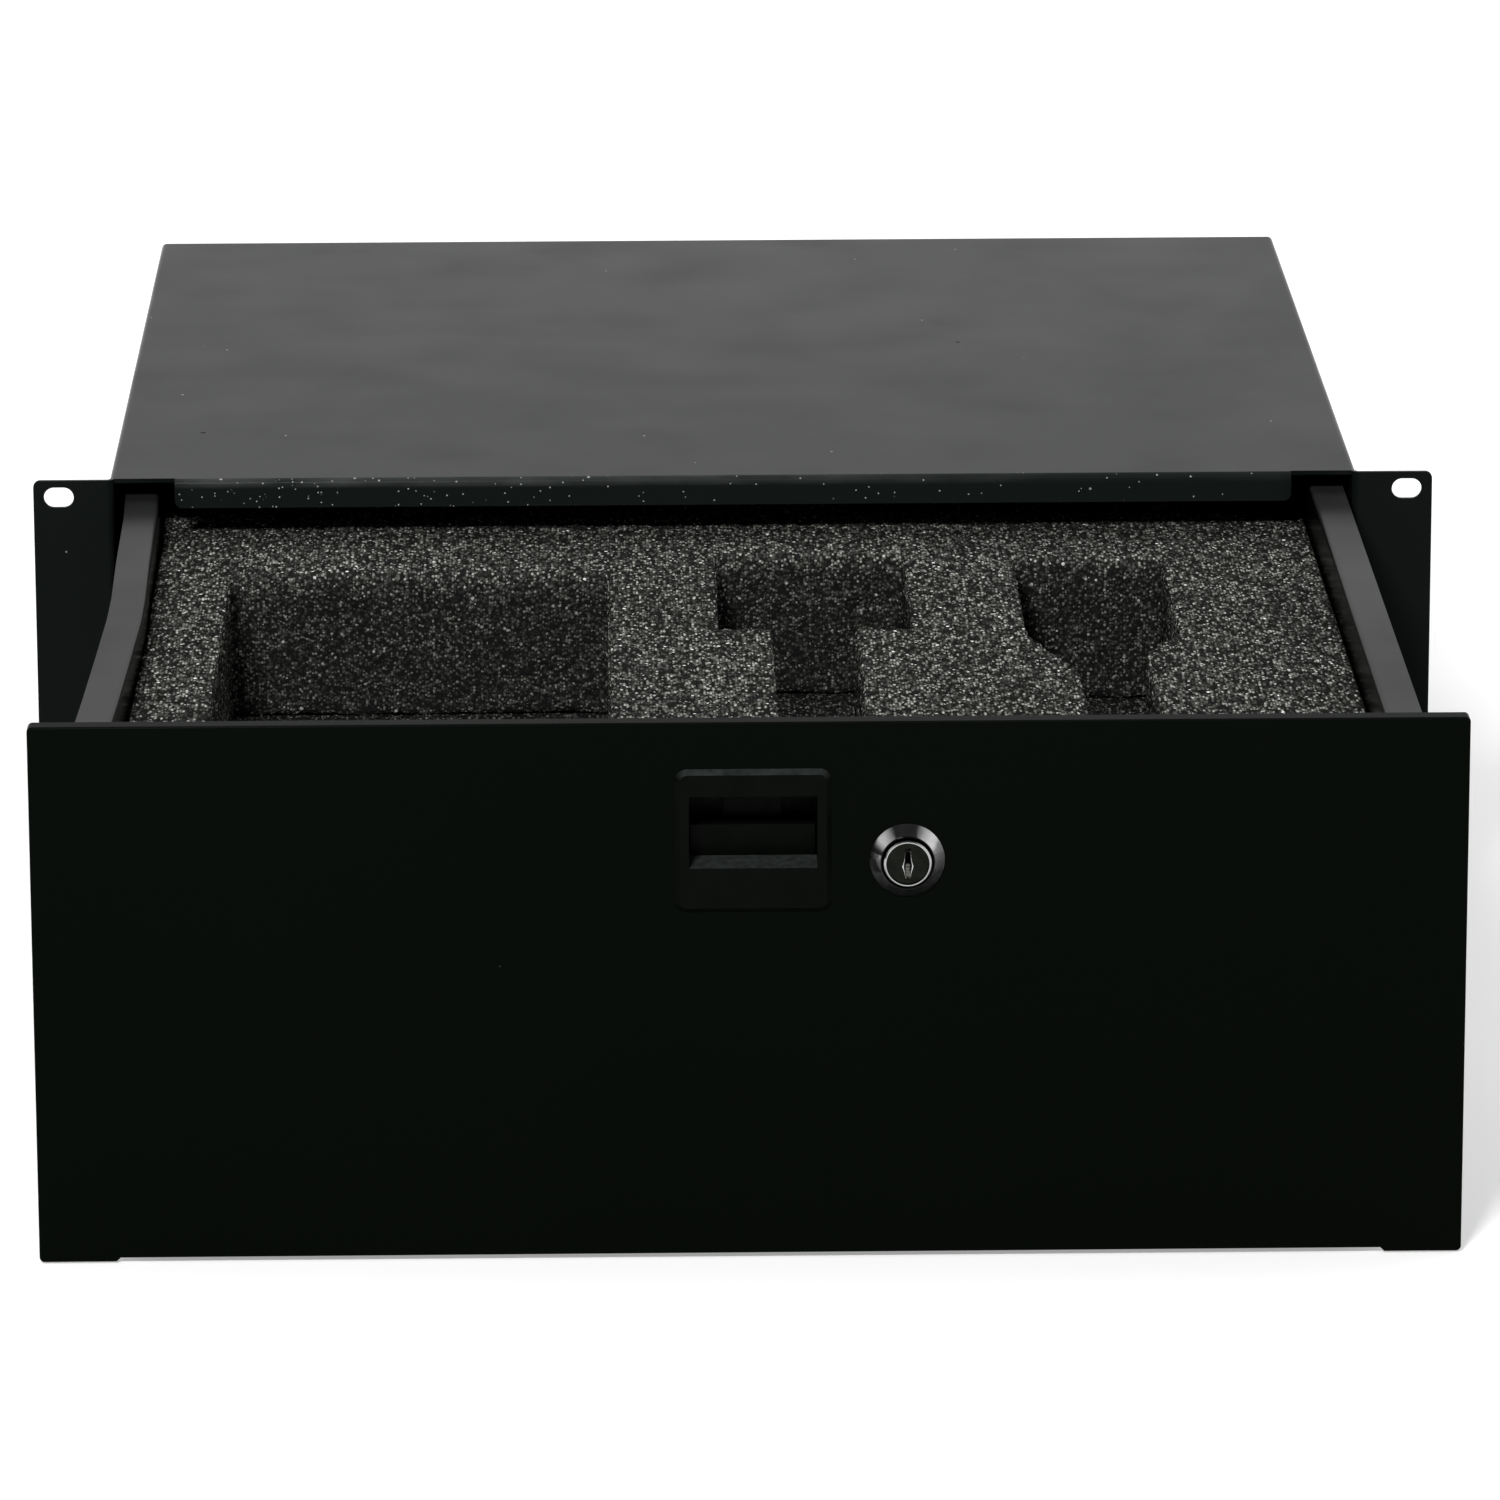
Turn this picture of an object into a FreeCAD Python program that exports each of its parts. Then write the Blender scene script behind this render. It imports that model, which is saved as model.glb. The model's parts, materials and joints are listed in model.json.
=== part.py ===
import FreeCAD, Part
import math
import os
from FreeCAD import Vector

# Sliding rack drawer, 4 rack units high, drawn with the drawer open.
# Millimetres.  +X right, +Y into the rack, +Z up.  The origin is the centre of the
# four rack slots, on the rear face of the ears, which is the face that meets the rack.

# ---- rack standard ----
RACK_UNITS = 4
RACK_UNIT = 44.45
RACK_PLAY = 0.8                    # an equipment front is this much under its rack space
EAR_SPAN = 482.6
SLOT_SPAN = 465.1
SLOT_END = 5.95                    # slot centre below the ear's top edge
SLOT_LENGTH = 10.3
SLOT_WIDTH = 7.1
EAR_CORNER_R = 2.4

# ---- housing ----
HOUSING_WIDTH = 430.4
HOUSING_PAST_SLIDES = 32.9         # back panel's face behind the slides
HOUSING_SHEET = 1.5
BEND_R = 0.5                       # inside radius of every fold
LIP_WIDTH = 385.2
LIP_HEIGHT = 10.0
LIP_CORNER_R = 2.5
PAN_FLANGE = 12.0
FLANGE_RELIEF = 3.0                  # flange stops this far short of a corner

# ---- drawer slides, 45 mm ball-bearing, full extension ----
SLIDE_THICKNESS = 12.7
SLIDE_LENGTH = 355.6
SLIDE_FRONT = 4.0                  # housing member's front end, behind the ears
SLIDE_HEIGHT_AT = -12.0            # centre line of the slides
RAIL_SHEET = 1.2
BALL_R = 2.0
BALL_PLAY = 0.1
OUTER_ROW = 19.2                   # ball rows above and below the centre line
INNER_ROW = 13.8
INNER_ROW_IN = 8.6                 # inner row's distance from the housing wall
MID_WEB_IN = 2.2                   # middle member's web, from the housing wall
RAIL_LIP = 1.0
OUTER_TRACK_DEG = (0, 180)             # degrees of each rolled track round its ball row
MID_TRACK_DEG = (255, 315)
MID_INNER_TRACK_DEG = (0, 90)
INNER_TRACK_DEG = (225, 315)
MID_SHARE = 0.5                      # middle members travel this share of the drawer's way
CAGE_SHEET = 0.5
CAGE_CLEAR = 0.25
CAGE_LENGTH = 150.0
CAGE_BALLS = 5                     # in each row of a cage
RAIL_SCREWS = 3
RAIL_SCREW_END = 30.0

# ---- drawer ----
REST_OPENING = 312.8               # how far the drawer stands open as drawn
CLOSED_GAP = 1.0                   # front panel's flanges to the ears when shut
PANEL_WIDTH = 448.2
PANEL_BELOW_TOP = 2.1               # its top edge, under the housing's top
PANEL_HEIGHT = 174.4
PANEL_DEPTH = 6.3
PANEL_SHEET = 2.0
PANEL_CORNER_R = 1.6
PANEL_EDGE_R = 0.8                 # round all along the face's rim
PANEL_NOTCH_WIDTH = 400.0
PANEL_NOTCH = 1.5
TRAY_SHEET = 1.2
TRAY_PAST_SLIDES = 7.6             # tray's back behind its slide members
TRAY_FLOOR_CLEAR = 5.0             # tray's underside above the bottom pan
TRAY_TOP_DROP = 8.0                # tray flange below the housing's top
TRAY_FLANGE = 11.7
TRAY_BACK_DROP = 10.0              # back wall's top below the flange
WALL_BOW = 4.0                     # how far the left wall's top edge has been pushed in
BOW_SHAPE = ((0.0, 0.0), (0.14, 0.4), (0.28, 0.72), (0.42, 1.0), (0.49, 1.0), (0.63, 0.75), (0.79, 0.6),
             (1.0, 0.0))             # share of it, by share of the tray's length from the front
BOW_SIDE_STEPS = 3                   # flats round the bowed flange's fold
STUD_R = 2.0
STUD_HOLE_R = 2.3
STUD_LENGTH = 8.0
STUD_SPREAD = 150.0
STUD_EDGE = 7.0                    # studs from the tray's top and from its floor
FOAM_LAYER = 50.0
FOAM_DROP = 14.0                   # foam's top below the tray flange
FOAM_FRONT_CLEAR = 9.0
FOAM_CLEAR = 0.5
FOAM_FLOOR_CLEAR = 0.2

# ---- pockets cut through the top foam layer, y from the front panel's face ----
BOX_POCKET_X = (-172.0, -43.5)
BOX_POCKET_Y = (71.6, 273.0)
POCKET_FRONT = 71.6
ROUND_HEAD_X = (-7.0, 57.5)
ROUND_HEAD_Y = (194.6, 296.6)
ROUND_HANDLE_X = (10.5, 38.5)
TAPER_HEAD_X = (95.0, 146.0)
TAPER_HEAD_Y = (187.0, 288.6)
TAPER_SHOULDER_LEFT = 134.6
TAPER_SHOULDER_RIGHT = 158.6
TAPER_HANDLE_X = (110.0, 133.0)
LATCH_ROOM = 6.0                     # notch in the foam round the latch and the lock's cam
CAM_ROOM = 4.0
NOTCH_ROOM = 3.5

# ---- slam latch ----
LATCH_X = 1.0
LATCH_Z = 48.4                     # bezel's centre
BEZEL_WIDTH = 49.0
BEZEL_HEIGHT = 46.2
BEZEL_PROUD = 1.75
BEZEL_CORNER_R = 4.0
BEZEL_EDGE = 1.6                     # sloped rim round the bezel
RECESS_WIDTH = 40.0
RECESS_SILL = 39.9
SILL_RISE = 0.7                      # the sill climbs by this to the flap
RECESS_TOP = 63.0
LATCH_WALL = 1.5
LATCH_FLOOR = 30.0
LATCH_DEPTH = 24.0
CUTOUT_CLEAR = 0.3
FLAP_BACK = 11.25                  # flap's face behind the front panel's face
FLAP_DEPTH = 7.75
FLAP_HEIGHT = 12.3
FLAP_CLEAR = 0.5
FLAP_FLOOR_CLEAR = 0.7             # under the flap when the latch is pulled right down
STEM_WIDTH = 18.0
STEM_DEPTH = 3.0
BOLT_BOTTOM = 76.0
BOLT_TOP = 84.0
BOLT_BEHIND_LIP = 0.5
BOLT_RAMP = 7.0                      # height and depth of the bolt's ramp
BOLT_RAMP_DEPTH = 9.8
LATCH_TRAVEL = 7.5
SPRING_R = 2.0
SPRING_WIRE = 0.6
SPRING_COILS = 4
SPRING_BORE_R = 2.7
SPRING_BORE_ROOF = 2.5
SNAP_REACH = 1.6
SNAP_HEIGHT = 12.0
SNAP_LENGTH = 5.0

# ---- cam lock ----
LOCK_X = 49.0
LOCK_Z = 42.0
LOCK_RING_R = 11.75
LOCK_RING_FRONT_R = 8.5
LOCK_RING_PROUD = 4.5
LOCK_RING_EDGE = 0.8
LOCK_SIDES = 48                      # the barrel is drawn with this many flats
LOCK_BARREL_R = 9.5
LOCK_BARREL_LENGTH = 11.0
LOCK_HOLE_CLEAR = 0.2
PLUG_R = 7.45
PLUG_PLAY = 0.08
PLUG_PROUD = 6.0
PLUG_RIM = 1.0                       # raised rim round the plug's dished face
PLUG_EDGE = 0.4
PLUG_DISH = 0.5
PLUG_MOUTH_R = 8.1
PLUG_MOUTH_DEPTH = 3.0
KEYWAY_HEIGHT = 10.0
KEYWAY_WIDTH = 1.8
KEYWAY_DEPTH = 9.0
LOCK_NUT_ACROSS = 24.0
LOCK_NUT = 3.0
CAM_LENGTH = 41.5
CAM_WIDTH = 14.0
CAM_TIP_WIDTH = 10.0
CAM_SHEET = 1.6
CAM_CLEAR = 0.3
CAM_SQUARE = 6.0

# ---- screws and nuts ----
SCREW_R = 2.0
SCREW_HOLE_R = 2.1
SCREW_HEAD_R = 3.6
NUT_ACROSS = 7.0
NUT_THICKNESS = 3.2
CAM_BOLT_ACROSS = 8.0
CAM_BOLT_HEAD = 2.8
PAST = 1.0                           # cutters run past the shape by this
WELD = 0.5                           # pieces of one solid overlap by this before they are joined
HAIR = 0.01
SMALL_SIDES = 10                   # small hidden round things have this many flats
BALL_SIDES = 6
COIL_SIDES = 8

# ---- worked-out places ----
FRONT_HEIGHT = RACK_UNITS * RACK_UNIT - RACK_PLAY
TOP = FRONT_HEIGHT / 2
WALL_OUT = HOUSING_WIDTH / 2
WALL_IN = WALL_OUT - HOUSING_SHEET
EAR_FRONT = -HOUSING_SHEET
FOLD_END = BEND_R * 2                                     # where the front folds join the shell
SLIDE_BACK = SLIDE_FRONT + SLIDE_LENGTH
HOUSING_BACK = SLIDE_BACK + HOUSING_PAST_SLIDES
SHELL_FLOOR = -TOP + HOUSING_SHEET
LIP_BOTTOM = TOP - LIP_HEIGHT
PANEL_SHUT = EAR_FRONT - CLOSED_GAP - PANEL_DEPTH         # front panel's face when shut
PANEL_FACE = PANEL_SHUT - REST_OPENING                    # and as drawn
TRAY_OUT = WALL_IN - SLIDE_THICKNESS
TRAY_IN = TRAY_OUT - TRAY_SHEET
TRAY_TOP = TOP - TRAY_TOP_DROP
TRAY_BOTTOM = SHELL_FLOOR + TRAY_FLOOR_CLEAR
TRAY_FLOOR = TRAY_BOTTOM + TRAY_SHEET
TRAY_FRONT = PANEL_FACE + PANEL_SHEET
TRAY_BACK = SLIDE_BACK - REST_OPENING + TRAY_PAST_SLIDES
TRAY_FRONT_IN = TRAY_FRONT + TRAY_SHEET
TRAY_BACK_IN = TRAY_BACK - TRAY_SHEET
FOAM_TOP = TRAY_TOP - FOAM_DROP
BOW_FOOT = FOAM_TOP - FOAM_LAYER                          # the left wall is straight below this
THROUGH_FOAM = (FOAM_TOP - FOAM_LAYER - PAST, FOAM_TOP + PAST)   # cutters through the top layer
FOAM_FRONT = TRAY_FRONT_IN + FOAM_FRONT_CLEAR
FOAM_BACK = TRAY_BACK_IN - FOAM_CLEAR
RECESS_HALF = RECESS_WIDTH / 2
LATCH_HALF = RECESS_HALF + LATCH_WALL
STEM_FRONT = FLAP_BACK + FLAP_DEPTH
BOLT_FRONT = BOLT_BEHIND_LIP - PANEL_SHUT                 # bolt's face behind the panel's face
FLAP_BOTTOM = LATCH_FLOOR + LATCH_TRAVEL + FLAP_FLOOR_CLEAR
FLAP_TOP = FLAP_BOTTOM + FLAP_HEIGHT
SPRING_TOP = FLAP_TOP - SPRING_BORE_ROOF
SPRING_PLACE = (LATCH_X, PANEL_FACE + FLAP_BACK + FLAP_DEPTH / 2)


# ---- plain shapes ----
def box(x, y, z):
    """A block between two values along each axis."""
    solid = Part.makeBox(x[1] - x[0], y[1] - y[0], z[1] - z[0])
    solid.translate(Vector(x[0], y[0], z[0]))
    return solid


def rod(radius, length, at, along):
    return Part.makeCylinder(radius, length, Vector(*at), Vector(*along))


def fuse(shapes):
    joined = shapes[0]
    for shape in shapes[1:]:
        joined = joined.fuse(shape)
    return joined.removeSplitter()


def cut(shape, tools):
    for tool in tools:
        shape = shape.cut(tool)
    return shape


def mirrored(shape):
    return shape.mirror(Vector(0, 0, 0), Vector(1, 0, 0))


def both_sides(shape):
    return [shape, mirrored(shape)]


PLANES = {
    "xz": (lambda a, b: Vector(a, 0, b), Vector(0, 1, 0)),
    "xy": (lambda a, b: Vector(a, b, 0), Vector(0, 0, 1)),
    "yz": (lambda a, b: Vector(0, a, b), Vector(1, 0, 0)),
}


def rounded_run(corners, radii, place):
    """Edges of an open line of 2D corners, with an arc at each inner corner, put in its plane."""
    edges = []
    here = corners[0]
    for i in range(1, len(corners) - 1):
        corner, radius = corners[i], radii[i - 1]
        to_before = (corners[i - 1] - corner).normalize()
        to_after = (corners[i + 1] - corner).normalize()
        half = to_before.getAngle(to_after) / 2
        start = corner + to_before * (radius / math.tan(half))
        end = corner + to_after * (radius / math.tan(half))
        bisector = (to_before + to_after).normalize()
        middle = corner + bisector * (radius / math.sin(half) - radius)
        edges.append(Part.makeLine(place(here.x, here.y), place(start.x, start.y)))
        stops = [place(p.x, p.y) for p in (start, middle, end)]
        edges.append(Part.Arc(*stops).toShape())
        here = end
    last = corners[-1]
    edges.append(Part.makeLine(place(here.x, here.y), place(last.x, last.y)))
    return edges


def folded(plane, points, sheet, start, end):
    """Sheet metal folded along a line of points, which is one of its faces.

    The sheet lies to the left of the line, and it runs from start to end across the plane."""
    place, normal = PLANES[plane]
    line = [Vector(a, b, 0) for a, b in points]
    runs = [(q - p).normalize() for p, q in zip(line, line[1:])]
    lefts = [Vector(-d.y, d.x, 0) for d in runs]
    other = [line[0] + lefts[0] * sheet]
    face_radii = []
    other_radii = []
    for i in range(1, len(line) - 1):
        across = lefts[i - 1] + lefts[i]
        other.append(line[i] + across * (sheet / (1 + lefts[i - 1].dot(lefts[i]))))
        turns_left = runs[i - 1].cross(runs[i]).z > 0
        face_radii.append(BEND_R + sheet if turns_left else BEND_R)
        other_radii.append(BEND_R if turns_left else BEND_R + sheet)
    other.append(line[-1] + lefts[-1] * sheet)
    edges = rounded_run(line, face_radii, place) + rounded_run(other[::-1], other_radii[::-1], place)
    for p, q in ((line[-1], other[-1]), (other[0], line[0])):
        edges.append(Part.makeLine(place(p.x, p.y), place(q.x, q.y)))
    solid = Part.Face(Part.Wire(Part.__sortEdges__(edges))).extrude(normal * (end - start))
    solid.translate(normal * start)
    return solid


def plate(plane, low, high, radius, start, end, rounded=(True, True, True, True)):
    """A rounded rectangle in a plane, from start to end across it.

    The corners that may be rounded go round from the low one: low-low, high-low, high-high, low-high."""
    place, normal = PLANES[plane]
    (a0, b0), (a1, b1) = low, high
    corners = [(a0, b0, 1, 1), (a1, b0, -1, 1), (a1, b1, -1, -1), (a0, b1, 1, -1)]
    stops = []
    for i, (a, b, to_a, to_b) in enumerate(corners):
        r = radius if rounded[i] else 0.0
        along_a = place(a + to_a * r, b)
        along_b = place(a, b + to_b * r)
        bend = r * (1 - math.sqrt(0.5))
        middle = place(a + to_a * bend, b + to_b * bend)
        pair = (along_b, along_a) if i % 2 == 0 else (along_a, along_b)
        stops.append((pair[0], middle, pair[1], r))
    edges = []
    for i, (first, middle, last, r) in enumerate(stops):
        if r:
            edges.append(Part.Arc(first, middle, last).toShape())
        following = stops[(i + 1) % 4][0]
        edges.append(Part.makeLine(last, following))
    solid = Part.Face(Part.Wire(edges)).extrude(normal * (end - start))
    solid.translate(normal * start)
    return solid


def prism(plane, points, start, end):
    place, normal = PLANES[plane]
    corners = [place(a, b) for a, b in points]
    solid = Part.Face(Part.makePolygon(corners + corners[:1])).extrude(normal * (end - start))
    solid.translate(normal * start)
    return solid


def turned_profile(points, at, along):
    """A solid of revolution from radius and height pairs, its foot at a point."""
    corners = [Vector(r, 0, h) for r, h in points]
    solid = Part.Face(Part.makePolygon(corners + corners[:1])).revolve(
        Vector(0, 0, 0), Vector(0, 0, 1), 360)
    return placed(solid, at, along)


def skinned(rings):
    """A solid with flat facets through rings of points, each ring with as many points."""
    faces = [rings[0][::-1], rings[-1]]
    count = len(rings[0])
    for low, high in zip(rings, rings[1:]):
        for i in range(count):
            j = (i + 1) % count
            faces += [[low[i], low[j], high[j]], [low[i], high[j], high[i]]]
    shell = Part.makeShell([Part.Face(Part.makePolygon(face + face[:1])) for face in faces])
    solid = Part.makeSolid(shell)
    if solid.Volume < 0:
        solid.reverse()
    return solid


def placed(shape, at, along):
    """A shape drawn standing on the origin, put at a point and turned along a direction."""
    shape.Placement = FreeCAD.Placement(Vector(*at), FreeCAD.Rotation(Vector(0, 0, 1), Vector(*along)))
    return shape


def many_sided(profile, at, along, sides=SMALL_SIDES):
    """Like turned_profile, with flats in place of a round surface; the profile leaves the axis out."""
    turns = [2 * math.pi * i / sides for i in range(sides)]
    rings = [[Vector(r * math.cos(t), r * math.sin(t), h) for t in turns] for r, h in profile]
    return placed(skinned(rings).removeSplitter(), at, along)


def small_hole(radius, length, at, along):
    """Cutter for a small hole: its flats lie on the radius."""
    corner = radius / math.cos(math.pi / SMALL_SIDES)
    return many_sided([(corner, 0), (corner, length)], at, along)


def evenly(low, high, count):
    return [low + (high - low) * i / (count - 1) for i in range(count)]


# ---- fasteners ----
def rail_screw(at, along, length):
    """Countersunk in a slide member's web: its head's flat top is at the point."""
    profile = [(SCREW_HEAD_R, 0), (SCREW_R, RAIL_SHEET), (SCREW_R, length)]
    return many_sided(profile, at, along)


def rail_screw_seat(at, along):
    """Cutter for the countersunk hole."""
    play = SCREW_HOLE_R - SCREW_R
    profile = [(SCREW_HEAD_R + play, -PAST), (SCREW_HEAD_R + play, 0), (SCREW_HOLE_R, RAIL_SHEET),
               (SCREW_HOLE_R, RAIL_SHEET + PAST)]
    grown = [(r / math.cos(math.pi / SMALL_SIDES), h) for r, h in profile]
    return many_sided(grown, at, along)


def hexagon(across, thickness):
    corner = across / math.sqrt(3)
    corners = [Vector(corner * math.cos(math.radians(60 * i)), corner * math.sin(math.radians(60 * i)), 0)
               for i in range(6)]
    return Part.Face(Part.makePolygon(corners + corners[:1])).extrude(Vector(0, 0, thickness))


# ---- places of fasteners ----
RAIL_SCREW_Y = [SLIDE_FRONT + y for y in evenly(RAIL_SCREW_END, SLIDE_LENGTH - RAIL_SCREW_END, RAIL_SCREWS)]
STUD_ROWS = (TRAY_TOP - STUD_EDGE, TRAY_FLOOR + STUD_EDGE)
STUD_PLACES = [(side * STUD_SPREAD, z) for z in STUD_ROWS for side in (-1, 1)]


def rail_holes(shift, low_x, high_x):
    """Holes for the slide screws through a side wall, on both sides."""
    holes = []
    for y in RAIL_SCREW_Y:
        at = (low_x, y + shift, SLIDE_HEIGHT_AT)
        holes += both_sides(small_hole(SCREW_HOLE_R, high_x - low_x, at, (1, 0, 0)))
    return holes


# ---- housing ----
def housing_wrap():
    """Top, sides, rack ears and front lip, one folded sheet."""
    shell = folded("xz", [(WALL_OUT, -TOP), (WALL_OUT, TOP), (-WALL_OUT, TOP), (-WALL_OUT, -TOP)],
                   HOUSING_SHEET, FOLD_END, HOUSING_BACK)
    ear = folded("xy", [(WALL_IN, FOLD_END), (WALL_IN, EAR_FRONT), (EAR_SPAN / 2, EAR_FRONT)],
                 HOUSING_SHEET, -TOP, TOP)
    ear_outline = plate("xz", (0, -TOP), (EAR_SPAN / 2, TOP), EAR_CORNER_R, EAR_FRONT, FOLD_END,
                        (False, True, True, False))
    ear = ear.common(ear_outline)
    for end in (-1, 1):
        slot_z = end * (TOP - SLOT_END)
        half = SLOT_LENGTH / 2
        ear = ear.cut(plate("xz", (SLOT_SPAN / 2 - half, slot_z - SLOT_WIDTH / 2),
                            (SLOT_SPAN / 2 + half, slot_z + SLOT_WIDTH / 2),
                            SLOT_WIDTH / 2 - HAIR, EAR_FRONT - PAST, PAST))
    lip = folded("yz", [(FOLD_END, TOP), (EAR_FRONT, TOP), (EAR_FRONT, LIP_BOTTOM)],
                 HOUSING_SHEET, -LIP_WIDTH / 2, LIP_WIDTH / 2)
    lip = lip.common(plate("xz", (-LIP_WIDTH / 2, LIP_BOTTOM), (LIP_WIDTH / 2, TOP), LIP_CORNER_R,
                           EAR_FRONT, FOLD_END, (True, True, False, False)))
    wrap = fuse([shell, lip] + both_sides(ear))
    return cut(wrap, rail_holes(0, WALL_IN - PAST, WALL_OUT + PAST))


def bottom_pan():
    rim = -TOP + PAN_FLANGE
    pan = folded("xz", [(-WALL_IN, rim), (-WALL_IN, -TOP), (WALL_IN, -TOP), (WALL_IN, rim)],
                 HOUSING_SHEET, FOLD_END, HOUSING_BACK)
    flange_end = HOUSING_BACK - PAN_FLANGE - FLANGE_RELIEF
    trim = box((WALL_IN - HOUSING_SHEET - BEND_R - HAIR, WALL_IN + PAST), (flange_end, HOUSING_BACK + PAST),
               (SHELL_FLOOR, rim + PAST))
    return cut(pan, both_sides(trim))


def back_panel():
    front = HOUSING_BACK - PAN_FLANGE
    ceiling = TOP - HOUSING_SHEET
    sides = folded("xy", [(WALL_IN, front), (WALL_IN, HOUSING_BACK), (-WALL_IN, HOUSING_BACK),
                          (-WALL_IN, front)], HOUSING_SHEET, SHELL_FLOOR + FLANGE_RELIEF,
                   ceiling - FLANGE_RELIEF)
    ends = folded("yz", [(front, SHELL_FLOOR), (HOUSING_BACK, SHELL_FLOOR), (HOUSING_BACK, ceiling),
                         (front, ceiling)], HOUSING_SHEET, -WALL_IN + FLANGE_RELIEF,
                  WALL_IN - FLANGE_RELIEF)
    return fuse([sides, ends])


# ---- slides: drawn on the left, s measured from the housing wall towards the drawer ----
def rail_block(s, z, length):
    return box((s[0] - WALL_IN, s[1] - WALL_IN), (0, length), z)


def raceway(s, z, track, length):
    """Rolled track round a ball row: a ring sector between two angles."""
    first, last = track
    inside = BALL_R + BALL_PLAY
    outside = inside + RAIL_SHEET

    def at(radius, degrees):
        turn = math.radians(degrees)
        return Vector(s - WALL_IN + radius * math.cos(turn), 0, z + radius * math.sin(turn))

    half = (first + last) / 2
    edges = [Part.Arc(at(outside, first), at(outside, half), at(outside, last)).toShape(),
             Part.makeLine(at(outside, last), at(inside, last)),
             Part.Arc(at(inside, last), at(inside, half), at(inside, first)).toShape(),
             Part.makeLine(at(inside, first), at(outside, first))]
    return Part.Face(Part.Wire(edges)).extrude(Vector(0, length, 0))


RACE_IN = BALL_R + BALL_PLAY
RACE_OUT = RACE_IN + RAIL_SHEET
OUTER_ROW_IN = RACE_OUT                                   # outer row's distance from the wall
MID_TOP = OUTER_ROW - RACE_IN                             # middle member's flat top
INNER_TOP = INNER_ROW - RACE_IN                           # drawer member's flat top


def up_and_down(shapes):
    """The same shapes above and below the slide's centre line."""
    return shapes + [shape.mirror(Vector(0, 0, 0), Vector(0, 0, 1)) for shape in shapes]


def outer_rail_section(length):
    web = rail_block((0, RAIL_SHEET), (-OUTER_ROW, OUTER_ROW), length)
    lip_in = OUTER_ROW_IN + RACE_IN
    curls = [raceway(OUTER_ROW_IN, OUTER_ROW, OUTER_TRACK_DEG, length),
             rail_block((lip_in, lip_in + RAIL_SHEET), (OUTER_ROW - RAIL_LIP, OUTER_ROW), length)]
    return fuse([web] + up_and_down(curls))


def mid_rail_section(length):
    web = rail_block((MID_WEB_IN, MID_WEB_IN + RAIL_SHEET), (-MID_TOP, MID_TOP), length)
    lip_in = INNER_ROW_IN + RACE_IN
    curls = [rail_block((MID_WEB_IN, INNER_ROW_IN), (MID_TOP - RAIL_SHEET, MID_TOP), length),
             raceway(OUTER_ROW_IN, OUTER_ROW, MID_TRACK_DEG, length),
             raceway(INNER_ROW_IN, INNER_ROW, MID_INNER_TRACK_DEG, length),
             rail_block((lip_in, lip_in + RAIL_SHEET), (INNER_ROW - RAIL_LIP, INNER_ROW), length)]
    return fuse([web] + up_and_down(curls))


def inner_rail_section(length):
    web = rail_block((SLIDE_THICKNESS - RAIL_SHEET, SLIDE_THICKNESS), (-INNER_TOP, INNER_TOP), length)
    curls = [rail_block((INNER_ROW_IN, SLIDE_THICKNESS), (INNER_TOP - RAIL_SHEET, INNER_TOP), length),
             raceway(INNER_ROW_IN, INNER_ROW, INNER_TRACK_DEG, length)]
    return fuse([web] + up_and_down(curls))


def ball(s, y, z):
    angles = [math.radians(a) for a in (-67.5, -22.5, 22.5, 67.5)]
    profile = [(BALL_R * math.cos(a), BALL_R * math.sin(a)) for a in angles]
    return many_sided(profile, (s - WALL_IN, y, z), (0, 0, 1), BALL_SIDES)


def ball_cage(web_in, row_in, row):
    """Retainer strip with fingers between the balls of an upper and a lower row, and its balls."""
    web = rail_block((web_in, web_in + CAGE_SHEET), (-row, row), CAGE_LENGTH)
    reach = row_in + BALL_R - CAGE_CLEAR / 2
    fingers = rail_block((web_in, reach), (row - CAGE_SHEET / 2, row + CAGE_SHEET / 2), CAGE_LENGTH)
    strip = fuse([web] + up_and_down([fingers]))
    pocket_r = BALL_R + CAGE_CLEAR
    places = evenly(CAGE_LENGTH / CAGE_BALLS / 2, CAGE_LENGTH - CAGE_LENGTH / CAGE_BALLS / 2, CAGE_BALLS)
    balls = []
    for y in places:
        for side in (-1, 1):
            strip = strip.cut(rail_block((row_in - pocket_r, row_in + pocket_r + PAST),
                                         (side * row - pocket_r, side * row + pocket_r), 2 * pocket_r)
                              .translated(Vector(0, y - pocket_r, 0)))
            balls.append(ball(row_in, y, side * row))
    return [strip] + balls


def slid(shapes, share, start=0.0):
    """Slide pieces put at their height and moved by their share of the drawer's opening."""
    for shape in shapes:
        shape.translate(Vector(0, SLIDE_FRONT + start - share * REST_OPENING, SLIDE_HEIGHT_AT))
    return shapes


def outer_rail():
    rail = slid([outer_rail_section(SLIDE_LENGTH)], 0)[0]
    seats = [rail_screw_seat((RAIL_SHEET - WALL_IN, y, SLIDE_HEIGHT_AT), (-1, 0, 0)) for y in RAIL_SCREW_Y]
    return cut(rail, seats)


def inner_rail():
    rail = slid([inner_rail_section(SLIDE_LENGTH)], 1)[0]
    web = SLIDE_THICKNESS - RAIL_SHEET - WALL_IN
    seats = [rail_screw_seat((web, y - REST_OPENING, SLIDE_HEIGHT_AT), (1, 0, 0)) for y in RAIL_SCREW_Y]
    return cut(rail, seats)


def rail_screws(head_at, along, shift, grip):
    """Screws of one slide member, threaded into the sheet it lies on, on both sides."""
    screws = []
    for y in RAIL_SCREW_Y:
        at = (head_at - WALL_IN, y + shift, SLIDE_HEIGHT_AT)
        screws += both_sides(rail_screw(at, along, RAIL_SHEET + grip))
    return screws


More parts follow.
